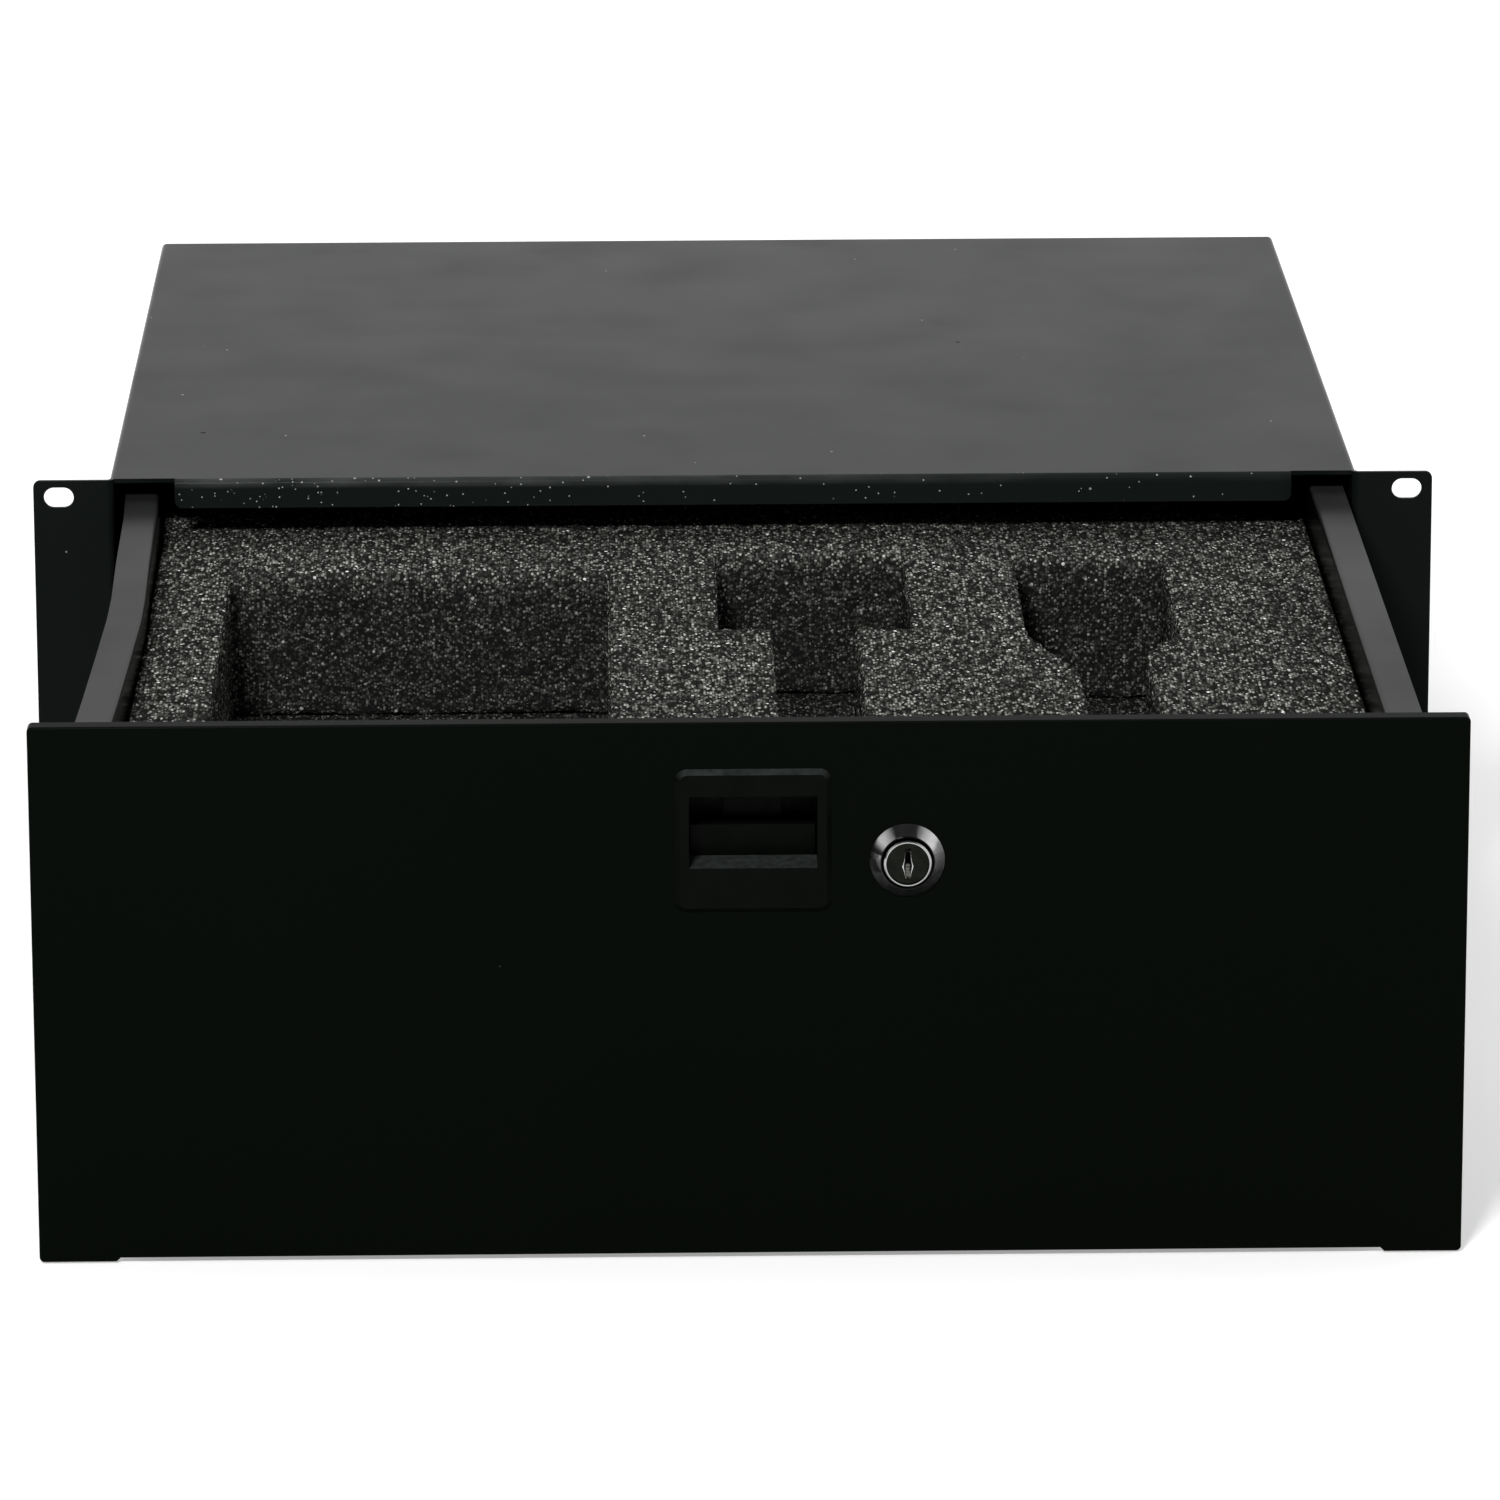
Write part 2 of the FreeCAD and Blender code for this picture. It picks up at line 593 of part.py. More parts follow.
# ---- drawer ----
def latch_cutout(start, end, clear):
    return plate("xz", (LATCH_X - LATCH_HALF - clear, LATCH_FLOOR - LATCH_WALL - clear),
                 (LATCH_X + LATCH_HALF + clear, RECESS_TOP + LATCH_WALL + clear), LATCH_WALL, start, end)


def lock_hole(face, sheet):
    """Cutter for the lock's hole through a sheet, from that sheet's front face."""
    return rod(LOCK_BARREL_R + LOCK_HOLE_CLEAR, sheet + 2 * PAST, (LOCK_X, face - PAST, LOCK_Z), (0, 1, 0))


def leaning(section):
    """A cross-section of the drawer's left side carried along it, pushed in with the wall's bow."""
    length = TRAY_BACK_IN - TRAY_FRONT_IN
    stations = [(TRAY_FRONT_IN + length * along, share) for along, share in BOW_SHAPE]
    rings = []
    for y, share in [(TRAY_FRONT, 0.0)] + stations + [(TRAY_BACK, 0.0)]:
        slope = WALL_BOW * share / (TRAY_TOP - BOW_FOOT)
        rings.append([Vector(x + slope * (z - BOW_FOOT), y, z) for x, z in section])
    return skinned(rings)


def bowed_side(flange_out):
    """Left wall and flange above the slides."""
    under = TRAY_TOP - TRAY_SHEET
    fold_r = BEND_R + TRAY_SHEET
    section = [(-TRAY_OUT, BOW_FOOT), (-TRAY_OUT, under - BEND_R), (-TRAY_OUT - BEND_R, under),
               (-flange_out, under), (-flange_out, TRAY_TOP)]
    for i in range(BOW_SIDE_STEPS + 1):
        turn = math.pi / 2 * i / BOW_SIDE_STEPS
        section.append((-TRAY_IN - fold_r * (1 - math.sin(turn)), TRAY_TOP - fold_r * (1 - math.cos(turn))))
    return leaning(section + [(-TRAY_IN, BOW_FOOT)])


def drawer_tray():
    flange_out = TRAY_IN + TRAY_FLANGE
    section = [(flange_out, TRAY_TOP), (TRAY_IN, TRAY_TOP), (TRAY_IN, TRAY_FLOOR), (-TRAY_IN, TRAY_FLOOR),
               (-TRAY_IN, TRAY_TOP), (-flange_out, TRAY_TOP)]
    sides = folded("xz", section, TRAY_SHEET, TRAY_FRONT, TRAY_BACK)
    sides = sides.cut(box((-flange_out - PAST, -TRAY_IN), (TRAY_FRONT - PAST, TRAY_BACK + PAST),
                          (BOW_FOOT, TRAY_TOP + PAST)))
    front = plate("xz", (-TRAY_IN, TRAY_FLOOR), (TRAY_IN, TRAY_TOP - BEND_R), BEND_R,
                  TRAY_FRONT, TRAY_FRONT_IN, (True, True, False, False))
    back = plate("xz", (-TRAY_IN, TRAY_FLOOR), (TRAY_IN, TRAY_TOP - TRAY_BACK_DROP), BEND_R, TRAY_BACK_IN,
                 TRAY_BACK, (True, True, False, False))
    tray = fuse([sides, bowed_side(flange_out), front, back])
    holes = [latch_cutout(TRAY_FRONT - PAST, TRAY_FRONT_IN + PAST, CUTOUT_CLEAR),
             lock_hole(TRAY_FRONT, TRAY_SHEET)]
    holes += [small_hole(STUD_HOLE_R, TRAY_SHEET + 2 * PAST, (x, TRAY_FRONT - PAST, z), (0, 1, 0))
              for x, z in STUD_PLACES]
    return cut(tray, holes + rail_holes(-REST_OPENING, TRAY_IN - PAST, TRAY_OUT + PAST))


def front_panel():
    """Shallow pan, open below, with closed top corners and weld studs behind."""
    half = PANEL_WIDTH / 2
    top = TOP - PANEL_BELOW_TOP
    low = top - PANEL_HEIGHT
    back = PANEL_FACE + PANEL_DEPTH
    block = plate("xz", (-half, low), (half, top), PANEL_CORNER_R, PANEL_FACE, back)
    rim = [edge for edge in block.Edges if edge.BoundBox.YMax < PANEL_FACE + HAIR]
    block = block.makeFillet(PANEL_EDGE_R, rim)
    inside = box((-half + PANEL_SHEET, half - PANEL_SHEET), (PANEL_FACE + PANEL_SHEET, back + PAST),
                 (low - PAST, top - PANEL_SHEET))
    foot = PANEL_NOTCH_WIDTH / 2
    notch = prism("xz", [(-foot - PAST, low - PAST), (-foot + PANEL_NOTCH, low + PANEL_NOTCH),
                         (foot - PANEL_NOTCH, low + PANEL_NOTCH), (foot + PAST, low - PAST)],
                  PANEL_FACE - PAST, back + PAST)
    holes = [notch, latch_cutout(PANEL_FACE - PAST, PANEL_FACE + PANEL_SHEET + PAST, CUTOUT_CLEAR),
             lock_hole(PANEL_FACE, PANEL_SHEET)]
    panel = cut(block, [inside] + holes)
    root = PANEL_FACE + PANEL_SHEET
    studs = [many_sided([(STUD_R, -WELD), (STUD_R, STUD_LENGTH)], (x, root, z), (0, 1, 0))
             for x, z in STUD_PLACES]
    return fuse([panel] + studs)


def panel_nuts():
    nuts = []
    for x, z in STUD_PLACES:
        nut = hexagon(NUT_ACROSS, NUT_THICKNESS).cut(small_hole(STUD_R, NUT_THICKNESS, (0, 0, 0), (0, 0, 1)))
        nuts.append(placed(nut, (x, TRAY_FRONT_IN, z), (0, 1, 0)))
    return nuts


def foam_block(low, high):
    half = TRAY_IN - FOAM_CLEAR
    return box((-half, half), (FOAM_FRONT, FOAM_BACK), (low, high))


def behind_panel(y):
    return PANEL_FACE + y


def pocket(x, y):
    """Straight-sided hole through the top foam layer."""
    return box(x, (behind_panel(y[0]), behind_panel(y[1])), THROUGH_FOAM)


def taper_pocket():
    (left, right), (neck_left, neck_right) = TAPER_HEAD_X, TAPER_HANDLE_X
    outline = [(neck_left, POCKET_FRONT), (neck_right, POCKET_FRONT), (neck_right, TAPER_SHOULDER_RIGHT),
               (right, TAPER_HEAD_Y[0]), (right, TAPER_HEAD_Y[1]), (left, TAPER_HEAD_Y[1]),
               (left, TAPER_HEAD_Y[0]), (neck_left, TAPER_SHOULDER_LEFT)]
    return prism("xy", [(x, behind_panel(y)) for x, y in outline], *THROUGH_FOAM)


def foam_cut_layer():
    latch_notch = box((LATCH_X - LATCH_HALF - LATCH_ROOM, LOCK_X + CAM_LENGTH + CAM_ROOM),
                      (FOAM_FRONT - PAST, behind_panel(LATCH_DEPTH + NOTCH_ROOM)), THROUGH_FOAM)
    pockets = [pocket(BOX_POCKET_X, BOX_POCKET_Y), pocket(ROUND_HEAD_X, ROUND_HEAD_Y),
               pocket(ROUND_HANDLE_X, (POCKET_FRONT, ROUND_HEAD_Y[0] + PAST)), taper_pocket()]
    pockets.append(latch_notch)
    if WALL_BOW:
        clear_of, foam_edge = -TRAY_OUT - WALL_BOW, FOAM_CLEAR - TRAY_IN
        pockets.append(leaning([(clear_of, BOW_FOOT), (clear_of, TRAY_TOP), (foam_edge, TRAY_TOP),
                                (foam_edge, BOW_FOOT)]))
    return cut(foam_block(FOAM_TOP - FOAM_LAYER, FOAM_TOP), pockets)


# ---- slam latch ----
def latch_housing():
    """Bezel with a finger recess, and the box behind it that the bolt slides in."""
    bezel = plate("xz", (LATCH_X - BEZEL_WIDTH / 2, LATCH_Z - BEZEL_HEIGHT / 2),
                  (LATCH_X + BEZEL_WIDTH / 2, LATCH_Z + BEZEL_HEIGHT / 2), BEZEL_CORNER_R,
                  behind_panel(-BEZEL_PROUD), behind_panel(0))
    front_rim = [edge for edge in bezel.Edges
                 if edge.BoundBox.YMax < behind_panel(-BEZEL_PROUD) + HAIR]
    bezel = bezel.makeChamfer(BEZEL_EDGE, front_rim)
    case = latch_cutout(behind_panel(-WELD), behind_panel(LATCH_DEPTH), 0)
    wide = (LATCH_X - RECESS_HALF, LATCH_X + RECESS_HALF)
    inside_back = behind_panel(LATCH_DEPTH - LATCH_WALL)
    shelf_back = behind_panel(FLAP_BACK - CUTOUT_CLEAR)
    mouth = prism("yz", [(behind_panel(-BEZEL_PROUD - PAST), RECESS_SILL), (behind_panel(0), RECESS_SILL),
                         (shelf_back, RECESS_SILL + SILL_RISE), (inside_back, RECESS_SILL + SILL_RISE),
                         (inside_back, RECESS_TOP), (behind_panel(-BEZEL_PROUD - PAST), RECESS_TOP)], *wide)
    stem_half = STEM_WIDTH / 2 + CUTOUT_CLEAR
    below_sill = (LATCH_FLOOR, RECESS_SILL - LATCH_WALL)
    hollows = [mouth,
               box(wide, (behind_panel(PANEL_SHEET / 2), inside_back), below_sill),
               box(wide, (shelf_back, inside_back), (LATCH_FLOOR, RECESS_TOP)),
               box((LATCH_X - stem_half, LATCH_X + stem_half),
                   (behind_panel(STEM_FRONT - CUTOUT_CLEAR), inside_back),
                   (RECESS_TOP - PAST, RECESS_TOP + LATCH_WALL + PAST))]
    body = cut(fuse([bezel, case]), hollows)
    snap_front = TRAY_FRONT_IN + CUTOUT_CLEAR
    root = LATCH_X + LATCH_HALF
    middle = (LATCH_FLOOR + RECESS_TOP) / 2
    barb = prism("xy", [(root - WELD, snap_front), (root + SNAP_REACH, snap_front),
                        (root, snap_front + SNAP_LENGTH), (root - WELD, snap_front + SNAP_LENGTH)],
                 middle - SNAP_HEIGHT / 2, middle + SNAP_HEIGHT / 2)
    other_barb = barb.mirror(Vector(LATCH_X, 0, 0), Vector(1, 0, 0))
    return fuse([body, barb, other_barb])


def latch_bolt():
    """One moulding: finger flap, stem and ramped bolt head."""
    flap = box((LATCH_X - RECESS_HALF + FLAP_CLEAR, LATCH_X + RECESS_HALF - FLAP_CLEAR),
               (behind_panel(FLAP_BACK), behind_panel(STEM_FRONT)), (FLAP_BOTTOM, FLAP_TOP))
    half = STEM_WIDTH / 2
    stem_back = STEM_FRONT + STEM_DEPTH
    stem = box((LATCH_X - half, LATCH_X + half), (behind_panel(STEM_FRONT), behind_panel(stem_back)),
               (FLAP_BOTTOM, BOLT_BOTTOM))
    head = prism("yz", [(behind_panel(BOLT_FRONT), BOLT_BOTTOM), (behind_panel(stem_back), BOLT_BOTTOM),
                        (behind_panel(stem_back), BOLT_TOP - BOLT_RAMP),
                        (behind_panel(stem_back - BOLT_RAMP_DEPTH), BOLT_TOP),
                        (behind_panel(BOLT_FRONT), BOLT_TOP)], LATCH_X - half, LATCH_X + half)
    foot = FLAP_BOTTOM - PAST
    bore = rod(SPRING_BORE_R, SPRING_TOP - foot, SPRING_PLACE + (foot,), (0, 0, 1))
    return fuse([flap, stem, head]).cut(bore)


def latch_spring():
    """Compression spring of square wire, between the latch's floor and the roof of the flap's bore."""
    half = SPRING_WIRE / 2
    rise = SPRING_TOP - LATCH_FLOOR - SPRING_WIRE
    steps = SPRING_COILS * COIL_SIDES
    rings = []
    for i in range(steps + 1):
        turn = 2 * math.pi * i / COIL_SIDES
        height = half + rise * i / steps
        rings.append([Vector((SPRING_R + a) * math.cos(turn), (SPRING_R + a) * math.sin(turn), height + b)
                      for a, b in ((-half, -half), (half, -half), (half, half), (-half, half))])
    return placed(skinned(rings), SPRING_PLACE + (LATCH_FLOOR,), (0, 0, 1))


# ---- cam lock ----
def lock_barrel():
    bore_r = PLUG_R + PLUG_PLAY
    mouth = PLUG_MOUTH_DEPTH - LOCK_RING_PROUD
    at, along = (LOCK_X, PANEL_FACE, LOCK_Z), (0, 1, 0)
    body = many_sided([(LOCK_RING_FRONT_R, -LOCK_RING_PROUD), (LOCK_RING_R, -LOCK_RING_EDGE),
                       (LOCK_RING_R, 0), (LOCK_BARREL_R, 0), (LOCK_BARREL_R, LOCK_BARREL_LENGTH)],
                      at, along, LOCK_SIDES)
    bore = many_sided([(PLUG_MOUTH_R, -LOCK_RING_PROUD - PAST), (PLUG_MOUTH_R, mouth), (bore_r, mouth),
                       (bore_r, LOCK_BARREL_LENGTH + PAST)], at, along, LOCK_SIDES)
    return body.cut(bore)


def lock_plug():
    dish_r = PLUG_R - PLUG_RIM
    face = PLUG_DISH - PLUG_PROUD
    back = LOCK_BARREL_LENGTH + CAM_CLEAR
    plug = turned_profile([(0, face), (dish_r, face), (dish_r, -PLUG_PROUD),
                           (PLUG_R - PLUG_EDGE, -PLUG_PROUD), (PLUG_R, PLUG_EDGE - PLUG_PROUD),
                           (PLUG_R, back), (0, back)], (LOCK_X, PANEL_FACE, LOCK_Z), (0, 1, 0))
    keyway = box((LOCK_X - KEYWAY_WIDTH / 2, LOCK_X + KEYWAY_WIDTH / 2),
                 (behind_panel(-PLUG_PROUD - PAST), behind_panel(KEYWAY_DEPTH - PLUG_PROUD)),
                 (LOCK_Z - KEYWAY_HEIGHT / 2, LOCK_Z + KEYWAY_HEIGHT / 2))
    tang = box((LOCK_X - CAM_SQUARE / 2, LOCK_X + CAM_SQUARE / 2),
               (behind_panel(back - WELD), behind_panel(back + CAM_SHEET)),
               (LOCK_Z - CAM_SQUARE / 2, LOCK_Z + CAM_SQUARE / 2))
    return fuse([plug.cut(keyway), tang])


def lock_cam():
    """Flat bar on the plug's square, pointing sideways when unlocked and up behind the lip when locked."""
    half, tip = CAM_WIDTH / 2, CAM_TIP_WIDTH / 2
    outline = [(0, -half), (CAM_LENGTH, -tip), (CAM_LENGTH, tip), (0, half)]
    start = behind_panel(LOCK_BARREL_LENGTH + CAM_CLEAR)
    arm = prism("xz", [(LOCK_X + x, LOCK_Z + z) for x, z in outline], start, start + CAM_SHEET)
    hub = rod(half, CAM_SHEET, (LOCK_X, start, LOCK_Z), (0, 1, 0))
    square = box((LOCK_X - CAM_SQUARE / 2, LOCK_X + CAM_SQUARE / 2), (start - PAST, start + CAM_SHEET + PAST),
                 (LOCK_Z - CAM_SQUARE / 2, LOCK_Z + CAM_SQUARE / 2))
    return fuse([arm, hub]).cut(square)


def cam_bolt():
    head_at = behind_panel(LOCK_BARREL_LENGTH + CAM_CLEAR + CAM_SHEET)
    return placed(hexagon(CAM_BOLT_ACROSS, CAM_BOLT_HEAD), (LOCK_X, head_at, LOCK_Z), (0, 1, 0))


def lock_nut():
    nut = hexagon(LOCK_NUT_ACROSS, LOCK_NUT).cut(Part.makeCylinder(LOCK_BARREL_R, LOCK_NUT))
    return placed(nut, (LOCK_X, TRAY_FRONT_IN, LOCK_Z), (0, 1, 0))


# ---- one STEP file for each node ----
def save(node, shapes):
    shape = shapes if not isinstance(shapes, list) else Part.makeCompound(shapes)
    shape.exportStep("parts/" + node + ".step")


def save_pair(node, shapes):
    """A slide piece drawn on the left, and its mirror image on the right."""
    save("left_" + node, shapes)
    save("right_" + node, [mirrored(shape) for shape in shapes])


os.makedirs("parts", exist_ok=True)

save("housing_wrap", housing_wrap())
save("bottom_pan", bottom_pan())
save("back_panel", back_panel())

save_pair("outer_rail", [outer_rail()])
save_pair("mid_rail", slid([mid_rail_section(SLIDE_LENGTH)], MID_SHARE))
save_pair("inner_rail", [inner_rail()])
cage_start = (SLIDE_LENGTH - CAGE_LENGTH) / 2
outer_balls = ball_cage(RAIL_SHEET + CAGE_CLEAR, OUTER_ROW_IN, OUTER_ROW)
inner_balls = ball_cage(MID_WEB_IN + RAIL_SHEET + CAGE_CLEAR, INNER_ROW_IN, INNER_ROW)
save_pair("outer_ball_cage", slid(outer_balls, MID_SHARE / 2, cage_start))
save_pair("inner_ball_cage", slid(inner_balls, (MID_SHARE + 1) / 2, cage_start))
save("outer_rail_screws", rail_screws(RAIL_SHEET, (-1, 0, 0), 0, HOUSING_SHEET))
save("inner_rail_screws", rail_screws(SLIDE_THICKNESS - RAIL_SHEET, (1, 0, 0), -REST_OPENING, TRAY_SHEET))

save("drawer_tray", drawer_tray())
save("front_panel", front_panel())
save("panel_nuts", panel_nuts())
foam_split = FOAM_TOP - 2 * FOAM_LAYER
save("foam_base_layer", foam_block(TRAY_FLOOR + FOAM_FLOOR_CLEAR, foam_split))
save("foam_middle_layer", foam_block(foam_split, foam_split + FOAM_LAYER))
save("foam_cut_layer", foam_cut_layer())

save("latch_housing", latch_housing())
save("latch_bolt", latch_bolt())
save("latch_spring", latch_spring())

save("lock_barrel", lock_barrel())
save("lock_nut", lock_nut())
save("lock_plug", lock_plug())
save("lock_cam", lock_cam())
save("cam_bolt", cam_bolt())
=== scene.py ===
import json
import math

import bmesh
import bpy
import numpy as np
from mathutils import Euler, Matrix, Vector, noise


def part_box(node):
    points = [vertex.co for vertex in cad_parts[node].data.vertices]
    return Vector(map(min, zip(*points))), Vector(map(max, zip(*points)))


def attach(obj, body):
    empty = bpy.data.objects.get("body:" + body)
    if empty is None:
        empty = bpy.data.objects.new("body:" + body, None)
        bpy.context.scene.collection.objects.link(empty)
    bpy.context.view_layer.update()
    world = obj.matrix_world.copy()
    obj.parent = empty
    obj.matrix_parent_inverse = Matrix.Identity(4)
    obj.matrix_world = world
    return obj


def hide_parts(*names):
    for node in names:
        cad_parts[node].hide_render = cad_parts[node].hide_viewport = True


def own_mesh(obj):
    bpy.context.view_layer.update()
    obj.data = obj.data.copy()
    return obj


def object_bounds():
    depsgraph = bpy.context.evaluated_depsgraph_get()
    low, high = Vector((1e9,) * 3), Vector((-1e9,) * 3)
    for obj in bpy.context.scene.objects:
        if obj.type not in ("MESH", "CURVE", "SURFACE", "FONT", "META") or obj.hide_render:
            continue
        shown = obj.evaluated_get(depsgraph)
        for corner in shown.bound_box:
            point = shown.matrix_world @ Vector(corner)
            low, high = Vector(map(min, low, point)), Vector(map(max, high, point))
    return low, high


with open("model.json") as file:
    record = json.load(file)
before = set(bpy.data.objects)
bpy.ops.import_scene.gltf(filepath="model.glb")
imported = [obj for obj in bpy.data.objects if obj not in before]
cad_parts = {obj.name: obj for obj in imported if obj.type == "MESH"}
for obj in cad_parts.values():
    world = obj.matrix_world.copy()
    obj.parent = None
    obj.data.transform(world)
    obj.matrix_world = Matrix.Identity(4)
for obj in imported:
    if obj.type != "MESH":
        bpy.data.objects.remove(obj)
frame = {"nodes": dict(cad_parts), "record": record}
cad_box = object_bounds()
scene = bpy.context.scene
MM = 0.001

# Sliding rack drawer: black powder-coated sheet steel round a drawer on ball-bearing slides, with
# a charcoal foam insert, a black slam latch and a chrome cam lock.  Metres, +Z up, the drawer
# opens towards -Y.


# ---- shader nodes ----
class Tree:
    """A shader node tree, filled by plain calls."""

    def __init__(self, tree):
        self.tree = tree

    def add(self, kind, values=(), **settings):
        """A node, its settings, and its inputs by name or number: a value, or a socket to link."""
        node = self.tree.nodes.new(kind if "Node" in kind[:12] else "ShaderNode" + kind)
        for name, value in settings.items():
            setattr(node, name, value)
        for name, value in dict(values).items():
            self.feed(node.inputs[name], value)
        return node

    def feed(self, socket, value):
        if isinstance(value, bpy.types.NodeSocket):
            self.tree.links.new(value, socket)
        else:
            socket.default_value = value

    def math(self, operation, *values, clamp=False):
        return self.add("Math", enumerate(values), operation=operation, use_clamp=clamp).outputs[0]

    def spread(self, value, low, high, to_low=0.0, to_high=1.0):
        """A value's range laid onto another, and held within it."""
        inputs = {"Value": value, "From Min": low, "From Max": high, "To Min": to_low, "To Max": to_high}
        return self.add("MapRange", inputs).outputs["Result"]

    def mix(self, share, first, second):
        """A colour between two colours."""
        node = self.add("Mix", data_type="RGBA")
        for socket, value in zip((node.inputs[0], node.inputs[6], node.inputs[7]), (share, first, second)):
            self.feed(socket, value)
        return node.outputs[2]

    def place(self):
        """The point on the surface, in its own body's metres."""
        return self.add("TexCoord").outputs["Object"]

    def axes(self, vector=None):
        """A vector's X, Y and Z outputs; the place's, if none is given."""
        return self.add("SeparateXYZ", {0: vector or self.place()}).outputs

    def stretched(self, stretch):
        """The place, with each axis multiplied by its own number."""
        return self.add("VectorMath", {0: self.place(), 1: stretch}, operation="MULTIPLY").outputs[0]

    def bump(self, height, strength, distance):
        return self.add("Bump", {"Height": height, "Strength": strength, "Distance": distance}).outputs[0]

    def effect(self, group, **values):
        """A shared effect's outputs, with this material's own values."""
        node = self.add("Group", node_tree=group)
        for name, value in values.items():
            self.feed(node.inputs[name.replace("_", " ").title()], value)
        return node.outputs


def effect_group(name, inputs, outputs):
    """An empty shared effect: its tree, and its inputs' sockets by name."""
    group = bpy.data.node_groups.new(name, "ShaderNodeTree")
    for title, (kind, value) in inputs.items():
        socket = group.interface.new_socket(title, in_out="INPUT", socket_type="NodeSocket" + kind)
        if value is not None:
            socket.default_value = value
    for title, kind in outputs.items():
        group.interface.new_socket(title, in_out="OUTPUT", socket_type="NodeSocket" + kind)
    tree = Tree(group)
    return tree, tree.add("NodeGroupInput").outputs


def give_out(tree, **values):
    end = tree.add("NodeGroupOutput")
    for name, value in values.items():
        tree.feed(end.inputs[name.title()], value)
    return tree.tree


def cloud_effect():
    """Soft patches that drift between two values."""
    tree, given = effect_group("soft_patches", {
        "Scale": ("Float", 10.0), "Detail": ("Float", 3.0), "Low": ("Float", 0.0), "High": ("Float", 1.0),
        "Stretch": ("Vector", (1.0, 1.0, 1.0))}, {"Value": "Float"})
    texture = tree.add("TexNoise", {
        "Vector": tree.stretched(given["Stretch"]), "Scale": given["Scale"], "Detail": given["Detail"]})
    value = tree.spread(texture.outputs["Fac"], 0.3, 0.7, given["Low"], given["High"])
    return give_out(tree, value=value)


def speck_effect():
    """Scattered grains: a share of the cells holds one, each of its own size."""
    tree, given = effect_group("scattered_specks", {
        "Scale": ("Float", 100.0), "Share": ("Float", 0.05), "Size": ("Float", 0.3)}, {"Mask": "Float"})
    cells = tree.add("TexVoronoi", {"Vector": tree.place(), "Scale": given["Scale"]})
    chance = tree.add("SeparateColor", {"Color": cells.outputs["Color"]}).outputs
    holds = tree.math("LESS_THAN", chance[0], given["Share"])
    reach = tree.math("MULTIPLY", given["Size"], tree.math("ADD", chance[1], 0.3))
    inside = tree.math("DIVIDE", cells.outputs["Distance"], reach)
    return give_out(tree, mask=tree.math("MULTIPLY", holds, tree.spread(inside, 1.0, 0.6)))


def scratch_effect():
    """Fine lines that run mostly one way: long thin patches of noise, cut to their peaks."""
    tree, given = effect_group("fine_scratches", {
        "Stretch": ("Vector", (1.0, 1.0, 1.0)), "Scale": ("Float", 200.0), "Share": ("Float", 0.1)},
        {"Mask": "Float"})
    texture = tree.add("TexNoise", {
        "Vector": tree.stretched(given["Stretch"]), "Scale": given["Scale"], "Detail": 1.0})
    start = tree.math("SUBTRACT", 0.85, given["Share"])
    return give_out(tree, mask=tree.spread(texture.outputs["Fac"], start, tree.math("ADD", start, 0.06)))


PATCHES = cloud_effect()
SPECKS = speck_effect()
SCRATCHES = scratch_effect()


def material(name, fixed):
    """A material with one Principled shader, and its constant values on its own sockets."""
    made = bpy.data.materials.new(name)
    made.use_nodes = True
    shader = made.node_tree.nodes["Principled BSDF"]
    for socket, value in fixed.items():
        shader.inputs[socket].default_value = value
    return made, Tree(made.node_tree), shader.inputs


def grey(value):
    return (value, value, value, 1.0)


def upward(tree):
    """How far the surface faces up, from 0 to 1."""
    return tree.spread(tree.axes(tree.add("NewGeometry").outputs["Normal"])["Z"], 0.2, 0.9)


# ---- finishes ----
# A coat has its clean black and, on what faces up, a lighter haze: partly dust, partly painted sheen.
DUST = grey(0.42)
PIT_BLACK = grey(0.002)
COAT_GLOSS, PANEL_GLOSS = 0.02, 0.004       # specular level
DRAWER_BLACK, DRAWER_HAZE_AND_SHEEN = (0.0005, 0.0010, 0.0005, 1.0), (0.029, 0.030, 0.0295, 1.0)
PANEL_BLACK, PANEL_HAZE_AND_SHEEN = (0.0017, 0.0025, 0.0017, 1.0), (0.006, 0.0065, 0.0063, 1.0)
HOUSING_BLACK, HOUSING_HAZE_AND_SHEEN = (0.0042, 0.0057, 0.0050, 1.0), (0.011, 0.0115, 0.0115, 1.0)
# The housing lip's dusty film, and a painted highlight along its top edge between the heights below.
LIP_FILM, LIP_PAINTED_HIGHLIGHT = (0.0070, 0.0092, 0.0086, 1.0), (0.040, 0.044, 0.043, 1.0)
LIP_PAINTED_HIGHLIGHT_FROM, LIP_PAINTED_HIGHLIGHT_TO = 85.2 * MM, 86.4 * MM
MOUTH_R = 8.1 * MM                          # the hole in the lock's ring that the plug turns in
PLASTIC_GLOSS = 0.03
# Lighter colours for the upward faces of the latch and its bolt: dust and painted highlight.
LATCH_DUST_AND_HIGHLIGHT, BOLT_DUST_AND_HIGHLIGHT = (0.030, 0.035, 0.033, 1.0), (0.0022, 0.0030, 0.0022, 1.0)
FOAM_STRETCH = (1.0, 0.4, 1.0)              # the foam's cells lie along the drawer
# Two layers of grains: cells a metre, how rare the light ones are, darkest and lightest tone.
FOAM_GRAINS = ((740.0, 2.5, 0.013, 0.205), (1040.0, 4.0, 0.013, 0.90))
FOAM_WARMTH = 0.91                          # its blue, as a share of red and green
# Bright scraps of cell film: cells a metre, share that hold one, size, tone.
FOAM_FILMS = ((900.0, 0.05, 0.5, 0.6), (680.0, 0.016, 0.42, 0.95))
# Pore colour between the grains, and the painted shade colour for the pocket walls.
PORE, POCKET_SHADE_COLOUR = grey(0.011), grey(0.006)
POCKET_SHADE = 0.62                         # how strongly painted shade darkens the pocket walls
POCKET_FROM, POCKET_TO = 9.0 * MM, 1.5 * MM     # depths below the foam's top


